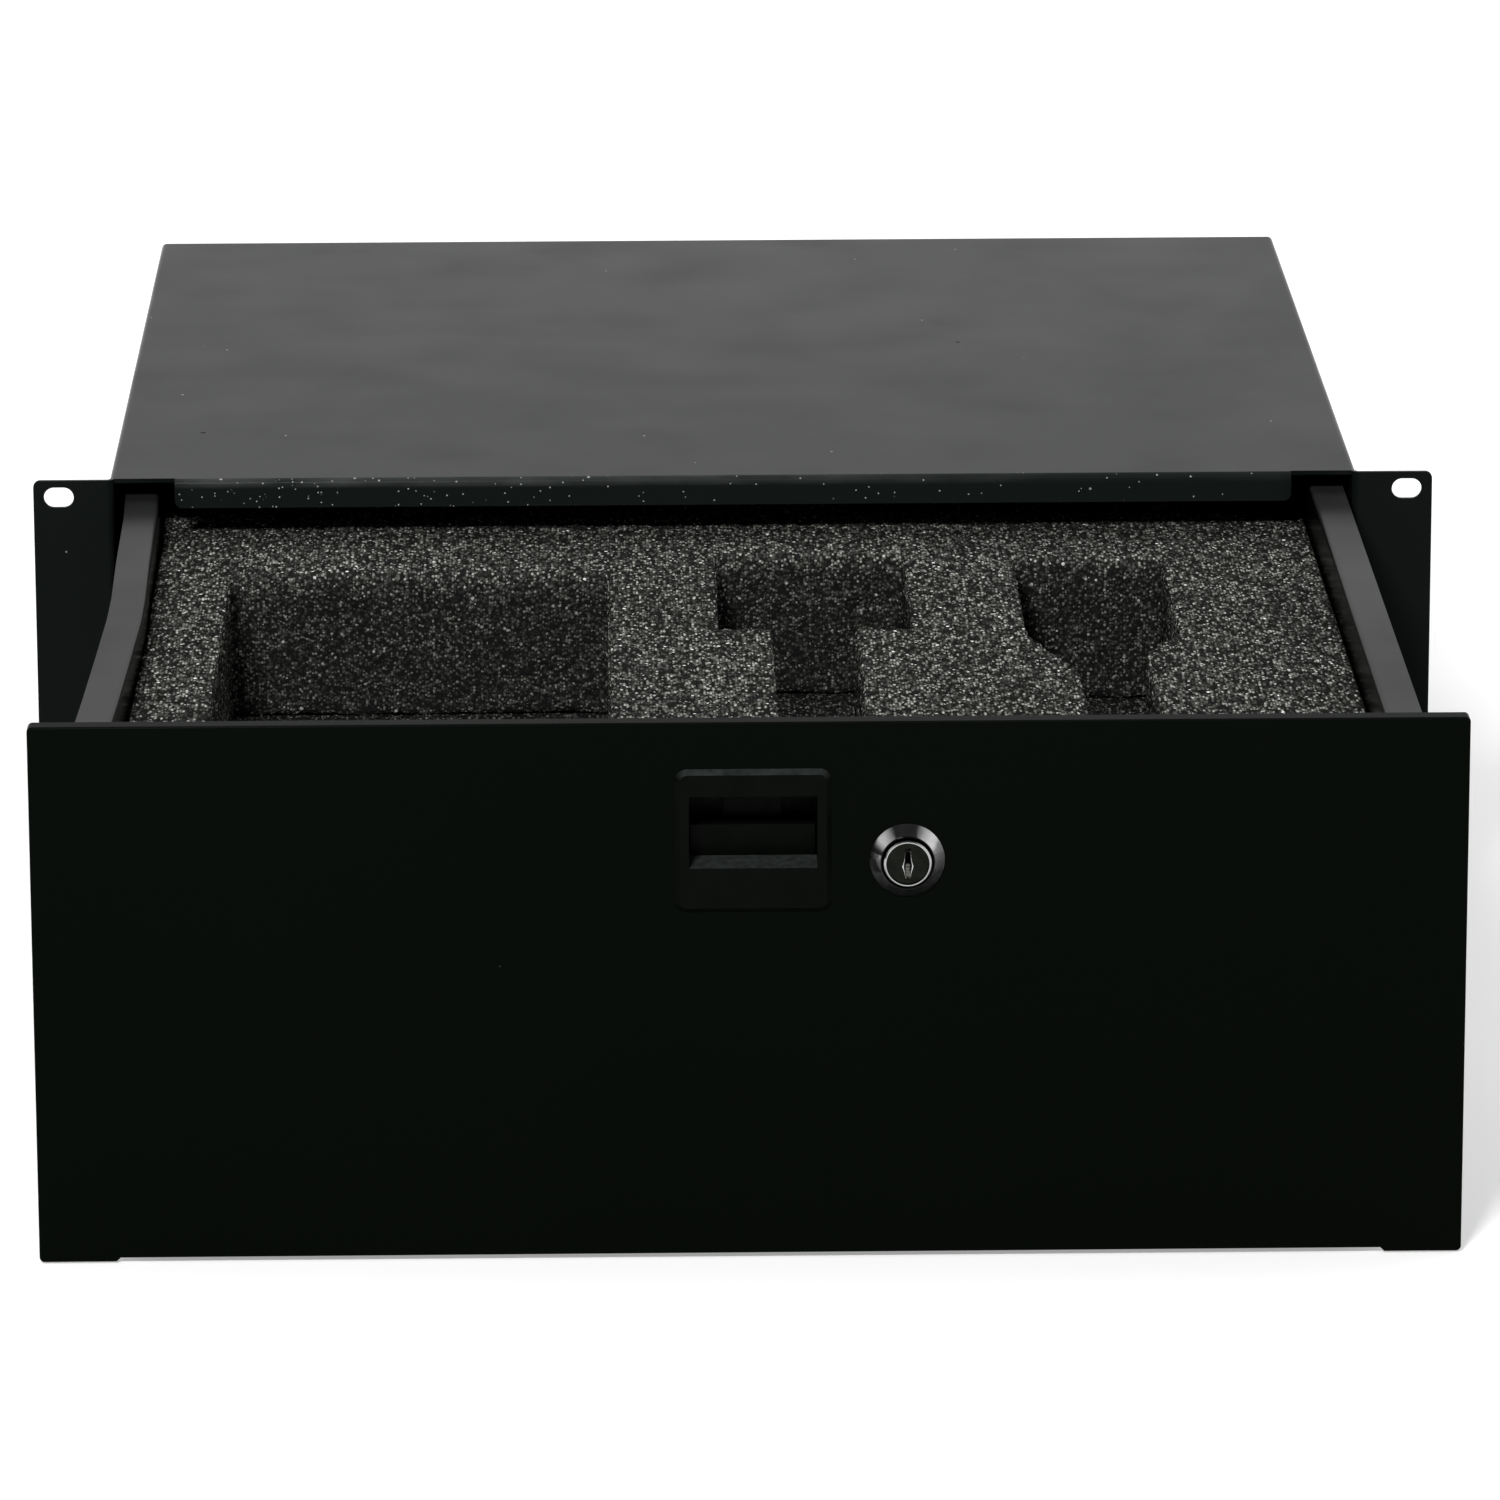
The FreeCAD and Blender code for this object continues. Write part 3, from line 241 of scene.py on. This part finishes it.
def powder_coat(name, black, haze, specks, crumbs=None, gloss=COAT_GLOSS):
    """Satin black powder coat: haze on what faces up (dust and painted sheen), specks of dust and small
    pits.
    """
    made, tree, shader = material(name, {"Specular IOR Level": gloss})
    facing = upward(tree)
    patches = tree.effect(PATCHES, scale=9.0, detail=5.0, stretch=(1.0, 0.6, 1.0))["Value"]
    # Dust with painted sheen: faces that look up are mixed in patches towards the lighter haze colour.
    dust_and_sheen = tree.math("MULTIPLY", patches, tree.spread(facing, 0.0, 1.0, 0.03, 1.0))
    colour = tree.mix(dust_and_sheen, black, haze)
    dust = tree.effect(SPECKS, scale=230.0, share=specks, size=0.1)["Mask"]
    dust = tree.math("MULTIPLY", dust, tree.spread(facing, 0.0, 1.0, 0.4, 1.0))
    if crumbs:
        # crumbs gives the lip's crumbs, its dusty film and its painted highlight along the top edge.
        mask, film, edge = crumbs(tree)
        colour = tree.mix(edge, tree.mix(film, colour, LIP_FILM), LIP_PAINTED_HIGHLIGHT)
        dust = tree.math("MAXIMUM", dust, mask)
    pits = tree.effect(SPECKS, scale=70.0, share=0.014, size=0.09)["Mask"]
    tree.feed(shader["Base Color"], tree.mix(pits, tree.mix(dust, colour, DUST), PIT_BLACK))
    rough = tree.effect(PATCHES, scale=22.0, detail=6.0, low=0.18, high=0.27)["Value"]
    tree.feed(shader["Roughness"], tree.math("ADD", rough, tree.math("MULTIPLY", pits, 0.3)))
    peel = tree.add("TexNoise", {"Vector": tree.place(), "Scale": 750.0, "Detail": 1.5}).outputs["Fac"]
    tree.feed(shader["Normal"], tree.bump(tree.math("SUBTRACT", peel, pits), 0.4, 0.02 * MM))
    return made


def lip_crumbs_and_highlight(tree):
    """White crumbs on the housing's front lip, most at its left end; its dusty film; painted highlight on
    its top.
    """
    place = tree.axes()
    front = tree.spread(place["Y"], 1.0 * MM, 0.0)
    high = tree.spread(place["Z"], 76.0 * MM, 78.0 * MM)
    middle = tree.spread(tree.math("ABSOLUTE", place["X"]), 0.198, 0.188)
    lip = tree.math("MULTIPLY", middle, tree.math("MULTIPLY", front, high))
    along = tree.math("MULTIPLY", tree.spread(place["X"], -0.02, -0.16, 0.03, 0.16), lip)
    coarse = tree.effect(SPECKS, scale=520.0, share=along, size=0.28)["Mask"]
    fine = tree.effect(SPECKS, scale=900.0, share=along, size=0.3)["Mask"]
    highlight_patches = tree.effect(PATCHES, scale=160.0, detail=5.0, low=0.2, stretch=(0.3, 1.0, 1.0))["Value"]
    left = tree.spread(place["X"], 0.12, -0.02, 0.15, 1.0)
    # Painted highlight: a lighter band along the lip's top edge, in patches, stronger towards the left.
    edge = tree.math("MULTIPLY", lip, tree.spread(place["Z"], LIP_PAINTED_HIGHLIGHT_FROM, LIP_PAINTED_HIGHLIGHT_TO))
    edge = tree.math("MULTIPLY", edge, tree.math("MULTIPLY", highlight_patches, left))
    return tree.math("MULTIPLY", tree.math("MAXIMUM", coarse, fine), 0.8), lip, edge


def zinc_plate():
    made, tree, shader = material("zinc_plated_steel", {"Metallic": 1.0})
    tone = tree.effect(PATCHES, scale=60.0, detail=6.0, stretch=(1.0, 0.25, 1.0))["Value"]
    colour = tree.mix(tone, (0.46, 0.47, 0.48, 1.0), (0.66, 0.67, 0.66, 1.0))
    lines = tree.effect(SCRATCHES, stretch=(1.0, 0.04, 1.0), scale=900.0, share=0.22)["Mask"]
    tree.feed(shader["Base Color"], tree.mix(lines, colour, grey(0.36)))
    rough = tree.effect(PATCHES, scale=160.0, detail=3.0, low=0.28, high=0.42)["Value"]
    tree.feed(shader["Roughness"], rough)
    tree.feed(shader["Normal"], tree.bump(lines, 0.4, 0.01 * MM))
    return made


def slide_steel():
    made, tree, shader = material("slide_steel", {"Metallic": 1.0})
    grease = tree.effect(PATCHES, scale=240.0, detail=4.0)["Value"]
    tree.feed(shader["Base Color"], tree.mix(grease, (0.50, 0.50, 0.50, 1.0), (0.36, 0.33, 0.28, 1.0)))
    tree.feed(shader["Roughness"], tree.spread(grease, 0.0, 1.0, 0.18, 0.4))
    return made


def from_axis(tree, node):
    """How far the surface is from the middle line of a round node that points along Y."""
    low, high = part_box(node)
    offset = tree.add("VectorMath", {0: tree.place(), 1: (low + high) / 2}, operation="SUBTRACT").outputs[0]
    flat = tree.add("VectorMath", {0: offset, 1: (1.0, 0.0, 1.0)}, operation="MULTIPLY").outputs[0]
    return tree.add("VectorMath", {0: flat}, operation="LENGTH").outputs["Value"]


def chrome_plate(name, mouth_node=None):
    made, tree, shader = material(name, {"Metallic": 1.0})
    haze = tree.effect(PATCHES, scale=300.0, detail=4.0)["Value"]
    colour = tree.mix(haze, (0.42, 0.42, 0.43, 1.0), (0.55, 0.55, 0.55, 1.0))
    if mouth_node:
        # Painted shade: the ring is near-black round its mouth, up to 0.4 mm outside the hole the plug
        # turns in.
        bright = tree.spread(from_axis(tree, mouth_node), MOUTH_R + 0.4 * MM, MOUTH_R + 0.55 * MM)
        colour = tree.mix(bright, grey(0.006), colour)
    tree.feed(shader["Base Color"], colour)
    lines = tree.effect(SCRATCHES, stretch=(1.0, 1.0, 0.08), scale=2600.0, share=0.2)["Mask"]
    tree.feed(shader["Roughness"], tree.math("ADD", tree.spread(haze, 0.0, 1.0, 0.08, 0.15),
                                             tree.math("MULTIPLY", lines, 0.12)))
    return made


def latch_plastic(name, dust):
    """Moulded black plastic with a fine grain; upward faces lighter in patches: dust and painted highlight.
    """
    made, tree, shader = material(name, {"Specular IOR Level": PLASTIC_GLOSS})
    tone = tree.effect(PATCHES, scale=90.0, detail=4.0)["Value"]
    colour = tree.mix(tone, (0.0005, 0.0009, 0.0005, 1.0), (0.0011, 0.0017, 0.0011, 1.0))
    scuff_and_highlight = tree.effect(PATCHES, scale=420.0, detail=5.0, low=0.45, high=1.0)["Value"]
    # Dust with painted highlight: faces that look up are mixed in patches towards the lighter colour.
    colour = tree.mix(tree.math("MULTIPLY", upward(tree), scuff_and_highlight), colour, dust)
    tree.feed(shader["Base Color"], colour)
    rough = tree.effect(PATCHES, scale=260.0, detail=4.0, low=0.30, high=0.42)["Value"]
    tree.feed(shader["Roughness"], rough)
    grain = tree.add("TexVoronoi", {"Vector": tree.place(), "Scale": 1800.0}).outputs["Distance"]
    tree.feed(shader["Normal"], tree.bump(grain, 0.3, 0.01 * MM))
    return made


def plug_finish():
    """The lock's plug: a near-black face, painted dark reflection, inside a bright chrome rim."""
    made, tree, shader = material("plug_painted_dark_face", {"Metallic": 1.0})
    low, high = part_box("lock_plug")
    reach = (high.x - low.x) / 2
    front = tree.spread(tree.axes()["Y"], low.y + 0.6 * MM, low.y + 0.4 * MM)
    outer = tree.spread(from_axis(tree, "lock_plug"), reach * 0.90, reach * 0.92)
    rim = tree.math("MULTIPLY", outer, front)
    tone = tree.effect(PATCHES, scale=300.0, detail=4.0)["Value"]
    # Painted dark reflection: the plug's face is near-black metal inside its chrome rim.
    face = tree.mix(tone, (0.005, 0.006, 0.0048, 1.0), (0.010, 0.011, 0.009, 1.0))
    tree.feed(shader["Base Color"], tree.mix(rim, face, grey(0.4)))
    rough = tree.effect(PATCHES, scale=260.0, detail=4.0, low=0.14, high=0.24)["Value"]
    tree.feed(shader["Roughness"], rough)
    return made


def wafer_finish():
    """The brass wafers inside the keyway, darkened with painted shade."""
    made, tree, shader = material("keyway_wafers_painted_shade", {"Metallic": 1.0, "Roughness": 0.35})
    tone = tree.effect(PATCHES, scale=900.0, detail=3.0)["Value"]
    # Painted shade: the wafers' colour is kept dark, as deep inside the keyway.
    tree.feed(shader["Base Color"], tree.mix(tone, (0.05, 0.05, 0.045, 1.0), (0.13, 0.125, 0.11, 1.0)))
    return made


def open_cell_foam():
    """Charcoal foam: grains of every tone from black pore to bright cell film, about a millimetre wide."""
    made, tree, shader = material("charcoal_foam", {"Roughness": 1.0, "Specular IOR Level": 0.0})
    spot = tree.stretched(FOAM_STRETCH)
    colour, height = None, 0.0
    for scale, rare, low, high in FOAM_GRAINS:
        cells = tree.add("TexVoronoi", {"Vector": spot, "Scale": scale})
        chance = tree.add("SeparateColor", {"Color": cells.outputs["Color"]}).outputs[0]
        body = tree.spread(cells.outputs["Distance"], 0.66, 0.3)
        tone = tree.spread(tree.math("POWER", chance, rare), 0.0, 1.0, low, high)
        blue = tree.math("MULTIPLY", tone, FOAM_WARMTH)
        grain = tree.mix(body, PORE, tree.add("CombineColor", {0: tone, 1: tone, 2: blue}).outputs[0])
        colour = tree.mix(0.5, colour, grain) if colour else grain
        height = tree.math("ADD", height, tree.math("MULTIPLY", body, chance))
    for scale, share, size, shine in FOAM_FILMS:
        film = tree.effect(SPECKS, scale=scale, share=share, size=size)["Mask"]
        colour = tree.mix(film, colour, (shine, shine, shine * 0.97, 1.0))
    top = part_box("foam_cut_layer")[1].z
    # Painted shade: the foam darkens with depth below its top, down the pocket walls.
    inside = tree.spread(tree.axes()["Z"], top - POCKET_FROM, top - POCKET_TO, POCKET_SHADE, 0.0)
    tree.feed(shader["Base Color"], tree.mix(inside, colour, POCKET_SHADE_COLOUR))
    tree.feed(shader["Normal"], tree.bump(height, 0.8, 0.4 * MM))
    return made


FINISHES = {
    "black_powder_coat": powder_coat("black_powder_coat", DRAWER_BLACK, DRAWER_HAZE_AND_SHEEN, 0.012),
    "zinc_plated_steel": zinc_plate(),
    "slide_steel": slide_steel(),
    "chrome_plate": chrome_plate("chrome_plate"),
    "black_plastic": latch_plastic("black_plastic", LATCH_DUST_AND_HIGHLIGHT),
    "charcoal_foam": open_cell_foam(),
}

OWN_FINISH = {
    "front_panel": powder_coat("panel_powder_coat", PANEL_BLACK, PANEL_HAZE_AND_SHEEN, 0.006, gloss=PANEL_GLOSS),
    "housing_wrap": powder_coat("housing_powder_coat_dust_and_highlight", HOUSING_BLACK, HOUSING_HAZE_AND_SHEEN, 0.012, lip_crumbs_and_highlight),
    "lock_plug": plug_finish(),
    "lock_barrel": chrome_plate("lock_ring_chrome", "lock_barrel"),
    "latch_bolt": latch_plastic("smooth_black_plastic", BOLT_DUST_AND_HIGHLIGHT),
}

# ---- the rigid pieces keep their solids, with eased edges and their finish ----
EDGE_EASE = {"black_powder_coat": 0.35 * MM, "black_plastic": 0.25 * MM, "chrome_plate": 0.12 * MM}
SQUARE_EDGED = {"back_panel", "front_panel", "lock_plug", "lock_nut"}     # rounded already, or hidden
SMOOTH_UP_TO = math.radians(35)
WELD_WITHIN = 0.001 * MM


def ease_edges(piece, width):
    """Faces joined at their edges, a narrow rounded edge where two meet sharply, and even shading."""
    weld = piece.modifiers.new("joined_faces", "WELD")
    weld.merge_threshold = WELD_WITHIN
    if width:
        bevel = piece.modifiers.new("eased_edges", "BEVEL")
        bevel.width = width
        bevel.segments = 2
        bevel.limit_method = "ANGLE"
        bevel.angle_limit = SMOOTH_UP_TO
        bevel.use_clamp_overlap = True
    split = piece.modifiers.new("sharp_edges", "EDGE_SPLIT")
    split.split_angle = SMOOTH_UP_TO
    piece.modifiers.new("even_shading", "WEIGHTED_NORMAL")


def dress_nodes():
    for row in frame["record"]["subparts"]:
        node = frame["nodes"][row["node"]]
        slot = row["material_slot"]
        node.data.materials.clear()
        node.data.materials.append(OWN_FINISH.get(row["node"]) or FINISHES[slot])
        node.data.shade_smooth()
        ease_edges(node, None if row["node"] in SQUARE_EDGED else EDGE_EASE.get(slot))


dress_nodes()


# ---- foam ----
FOAM_FIXED_RIM = 4 * MM                     # the skin stays flat this near the tray
FOAM_WAVES = ((0.9, 380), (0.8, 150), (0.4, 35))    # share of the rise, and waves a metre


def new_piece(name, mesh, finish, body):
    piece = bpy.data.objects.new(name, mesh)
    scene.collection.objects.link(piece)
    mesh.materials.clear()
    mesh.materials.append(FINISHES[finish])
    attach(piece, body)
    return piece


def remeshed(node, voxel):
    """A node's solid as an even skin of small faces, which rounds its edges by about one face."""
    piece = bpy.data.objects.new("foam_blank", frame["nodes"][node].data.copy())
    scene.collection.objects.link(piece)
    remesh = piece.modifiers.new("even_skin", "REMESH")
    remesh.mode = "VOXEL"
    remesh.voxel_size = voxel
    graph = bpy.context.evaluated_depsgraph_get()
    mesh = bpy.data.meshes.new_from_object(piece.evaluated_get(graph))
    bpy.data.objects.remove(piece)
    return mesh


def foam_sheet(name, node, voxel, rise):
    """A foam layer with an uneven, open-celled skin; its outer sides stay inside the tray."""
    mesh = remeshed(node, voxel)
    low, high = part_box(node)
    count = len(mesh.vertices)
    points = np.empty(count * 3, np.float32)
    normals = np.empty(count * 3, np.float32)
    mesh.vertices.foreach_get("co", points)
    mesh.vertex_normals.foreach_get("vector", normals)
    points, normals = points.reshape(-1, 3), normals.reshape(-1, 3)
    inner = np.minimum(points - np.array(low), np.array(high) - points)[:, :2].min(1)
    free = np.clip(inner / FOAM_FIXED_RIM, 0, 1)
    shift = np.empty(count, np.float32)
    for i, point in enumerate(points):
        spot = Vector(point)
        shift[i] = sum(share * noise.noise(spot * waves) for share, waves in FOAM_WAVES)
    points += normals * (shift * free * rise)[:, None]
    points[:, 2] = np.minimum(points[:, 2], high[2])
    mesh.vertices.foreach_set("co", points.ravel())
    mesh.shade_smooth()
    piece = new_piece(name, mesh, "charcoal_foam", "drawer")
    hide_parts(node)
    return piece


foam_sheet("foam_cut_sheet", "foam_cut_layer", 2.0 * MM, 0.9 * MM)
foam_sheet("foam_middle_sheet", "foam_middle_layer", 4.0 * MM, 0.5 * MM)
foam_sheet("foam_base_sheet", "foam_base_layer", 6.0 * MM, 0.3 * MM)


# ---- lock and latch details ----
def swept(name, path, outline, finish, body, closed):
    """A piece swept along a path: outline(i, at) gives the section's points at each step."""
    mesh = bpy.data.meshes.new(name)
    build = bmesh.new()
    rings = [[build.verts.new(point) for point in outline(i, at)] for i, at in enumerate(path)]
    count = len(rings[0])
    for one, two in zip(rings, rings[1:] + rings[:1] if closed else rings[1:]):
        for k in range(count):
            build.faces.new((one[k], one[(k + 1) % count], two[(k + 1) % count], two[k]))
    if not closed:
        build.faces.new(rings[0][::-1])
        build.faces.new(rings[-1])
    bmesh.ops.recalc_face_normals(build, faces=build.faces)
    build.to_mesh(mesh)
    build.free()
    mesh.shade_smooth()
    mesh.set_sharp_from_angle(angle=SMOOTH_UP_TO)
    return new_piece(name, mesh, finish, body)


KEYWAY = (1.9 * MM, 9.2 * MM)               # the rim's inner width and height
KEYWAY_RIM = 0.55 * MM
WAFER_HALF_WIDTH = 0.82 * MM


def keyway_rim():
    """The raised, rounded mouth of the keyway, waisted at its middle."""
    low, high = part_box("lock_plug")
    middle, face = (low + high) / 2, low.y + 0.5 * MM
    steps = 40
    path = []
    for i in range(steps):
        turn = 2 * math.pi * i / steps
        tall = math.cos(turn) * KEYWAY[1] / 2
        wide = math.copysign(abs(math.sin(turn)) ** 0.35, math.sin(turn)) * KEYWAY[0] / 2
        wide *= 1.0 + 0.35 * math.exp(-((tall + 0.8 * MM) / (1.6 * MM)) ** 2)
        path.append(Vector((wide, 0.0, tall)))

    def section(i, at):
        thick = KEYWAY_RIM * (0.35 + 0.65 * math.exp(-((at.z + 0.9 * MM) / (1.5 * MM)) ** 2))
        out = (path[(i + 1) % steps] - path[i - 1]).cross(Vector((0, 1, 0))).normalized()
        if out.dot(at) < 0:
            out = -out
        shape = ((0.0, 0.2), (0.1, -0.22), (0.5, -0.3), (0.9, -0.12), (1.0, 0.2))
        return [Vector((middle.x, face, middle.z)) + at + out * (k * thick) + Vector((0, lift * MM, 0))
                for k, lift in shape]

    swept("keyway_rim", path, section, "chrome_plate", "lock_core", True)

    def wafer(i, at):
        corners = [(-1, -1), (-0.7, -1.1), (0.7, -1.1), (1, -1), (1, 1), (0.6, 1.15), (-0.6, 1.15), (-1, 1)]
        size = 1.0 if i else 0.85
        return [at + Vector((x * size * WAFER_HALF_WIDTH, 0, z * size * MM)) for x, z in corners]

    finish = wafer_finish()
    for k in range(3):
        seat = Vector((middle.x, face + (0.6 + 0.5 * k) * MM, middle.z - 3.4 * MM + k * 0.9 * MM))
        path = [seat, seat + Vector((0, 0.15 * MM, 0)), seat + Vector((0, 0.45 * MM, 0))]
        piece = swept("keyway_wafer_%d" % (k + 1), path, wafer, "zinc_plated_steel", "lock_core", False)
        piece.data.materials[0] = finish


SPRING_WIRE = 0.3 * MM                      # half the wire's thickness
SPRING_TURNS = 6
SPRING_SECTION = 8                          # sides of the wire


def latch_spring():
    """The latch's wire spring, with its end turns closed up."""
    low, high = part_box("latch_spring")
    middle = (low + high) / 2
    coil = (high.x - low.x) / 2 - SPRING_WIRE
    base, rise = low.z + SPRING_WIRE, high.z - low.z - 2 * SPRING_WIRE
    steps = SPRING_TURNS * 24
    path = []
    for i in range(steps + 1):
        share = i / steps
        lift = share - 0.09 * math.sin(2 * math.pi * share)
        turn = 2 * math.pi * SPRING_TURNS * share
        across, along = middle.x + coil * math.cos(turn), middle.y + coil * math.sin(turn)
        path.append(Vector((across, along, base + rise * lift)))

    def section(i, at):
        out = Vector((at.x - middle.x, at.y - middle.y, 0)).normalized()
        ahead = (path[min(i + 1, steps)] - path[max(i - 1, 0)]).normalized()
        over = ahead.cross(out).normalized()
        angles = [2 * math.pi * k / SPRING_SECTION for k in range(SPRING_SECTION)]
        return [at + (out * math.cos(a) + over * math.sin(a)) * SPRING_WIRE for a in angles]

    piece = swept("latch_coil_spring", path, section, "zinc_plated_steel", "drawer", False)
    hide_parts("latch_spring")
    return piece, middle, low.z


def dress_spring():
    piece, middle, foot = latch_spring()
    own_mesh(piece)


keyway_rim()
dress_spring()


# ---- studio ----
CAMERA_AT = (-0.0440, -2.9806, 0.7997)
CAMERA_TILT = (15.187, -0.424, 0.917)       # degrees down, leaning and round
CAMERA_LENS = 213.1
FLOOR_SIZE = 24.0
FLOOR_TONE = 0.78
FLOOR_GLOW = (0.34, 0.6)                    # near and far
FLOOR_GLOW_REACH = (0.6, 1.9)


def camera():
    data = bpy.data.cameras.new("camera")
    data.lens = CAMERA_LENS
    data.clip_end = 50.0
    seat = bpy.data.objects.new("camera", data)
    scene.collection.objects.link(seat)
    turn = Euler([math.radians(a) for a in CAMERA_TILT], "XYZ").to_matrix().transposed()
    upright = Matrix.Rotation(math.radians(90), 3, "X")
    seat.matrix_world = Matrix.Translation(CAMERA_AT) @ (turn @ upright).to_4x4()
    scene.camera = seat


def seen_directly(tree):
    """1 where the camera, a mirror-like surface or clear glass looks at this, else 0."""
    path = tree.add("LightPath").outputs
    mirrored = tree.math("MAXIMUM", path["Is Glossy Ray"], path["Is Transmission Ray"])
    return tree.math("MAXIMUM", path["Is Camera Ray"], mirrored)


def floor():
    mesh = bpy.data.meshes.new("floor")
    half = FLOOR_SIZE / 2
    base = cad_box[0].z
    corners = [(x * half, y * half, base) for x, y in ((-1, -1), (1, -1), (1, 1), (-1, 1))]
    mesh.from_pydata(corners, [], [(0, 1, 2, 3)])
    piece = bpy.data.objects.new("floor", mesh)
    scene.collection.objects.link(piece)
    made, tree, shader = material("pale_floor", {"Roughness": 0.8, "Specular IOR Level": 0.1})
    tone = tree.effect(PATCHES, scale=3.0, detail=2.0)["Value"]
    tree.feed(shader["Base Color"], tree.mix(tone, grey(FLOOR_TONE), grey(FLOOR_TONE * 1.02)))
    away = tree.add("VectorMath", {0: tree.place()}, operation="LENGTH").outputs["Value"]
    glow = tree.spread(away, *FLOOR_GLOW_REACH, *FLOOR_GLOW)
    tree.feed(shader["Emission Strength"], tree.math("MULTIPLY", seen_directly(tree), glow))
    shader["Emission Color"].default_value = grey(1.0)
    mesh.materials.append(made)


def lamp(name, at, aim, size, power, spread=180):
    data = bpy.data.lights.new(name, "AREA")
    data.shape = "RECTANGLE"
    data.size, data.size_y = size
    data.energy = power
    data.spread = math.radians(spread)
    seat = bpy.data.objects.new(name, data)
    scene.collection.objects.link(seat)
    seat.location = at
    seat.rotation_mode = "QUATERNION"
    seat.rotation_quaternion = (Vector(aim) - Vector(at)).to_track_quat("-Z", "Y")


def studio_world():
    """A pale room: bright behind, soft at both sides, dark above and ahead."""
    world = bpy.data.worlds.new("studio")
    scene.world = world
    world.use_nodes = True
    tree = Tree(world.node_tree)
    tree.tree.nodes.clear()
    way = tree.axes(tree.add("TexCoord").outputs["Generated"])
    behind = tree.spread(way["Y"], 0.1, 0.93, 0.03, 1.03)
    left = tree.spread(way["X"], -0.45, -0.85, 0.0, 0.9)
    left = tree.math("MULTIPLY", left, tree.spread(way["Z"], 0.15, 0.45))
    right = tree.spread(way["X"], 0.4, 0.85, 0.0, 1.2)
    light = tree.math("ADD", behind, tree.math("ADD", left, right))
    room = tree.add("Background", {"Color": grey(1.0), "Strength": light})
    tree.add("OutputWorld", {"Surface": room.outputs[0]})


camera()
floor()
lamp("overhead_softbox", (0.0, 0.7, 1.6), (0.0, 0.7, 0.0), (2.4, 1.8), 5.0, 80)
lamp("front_softbox", (-0.5, -2.2, 1.5), (0.0, -0.1, 0.0), (0.45, 0.25), 64.0)
studio_world()
scene.view_settings.view_transform = "Standard"
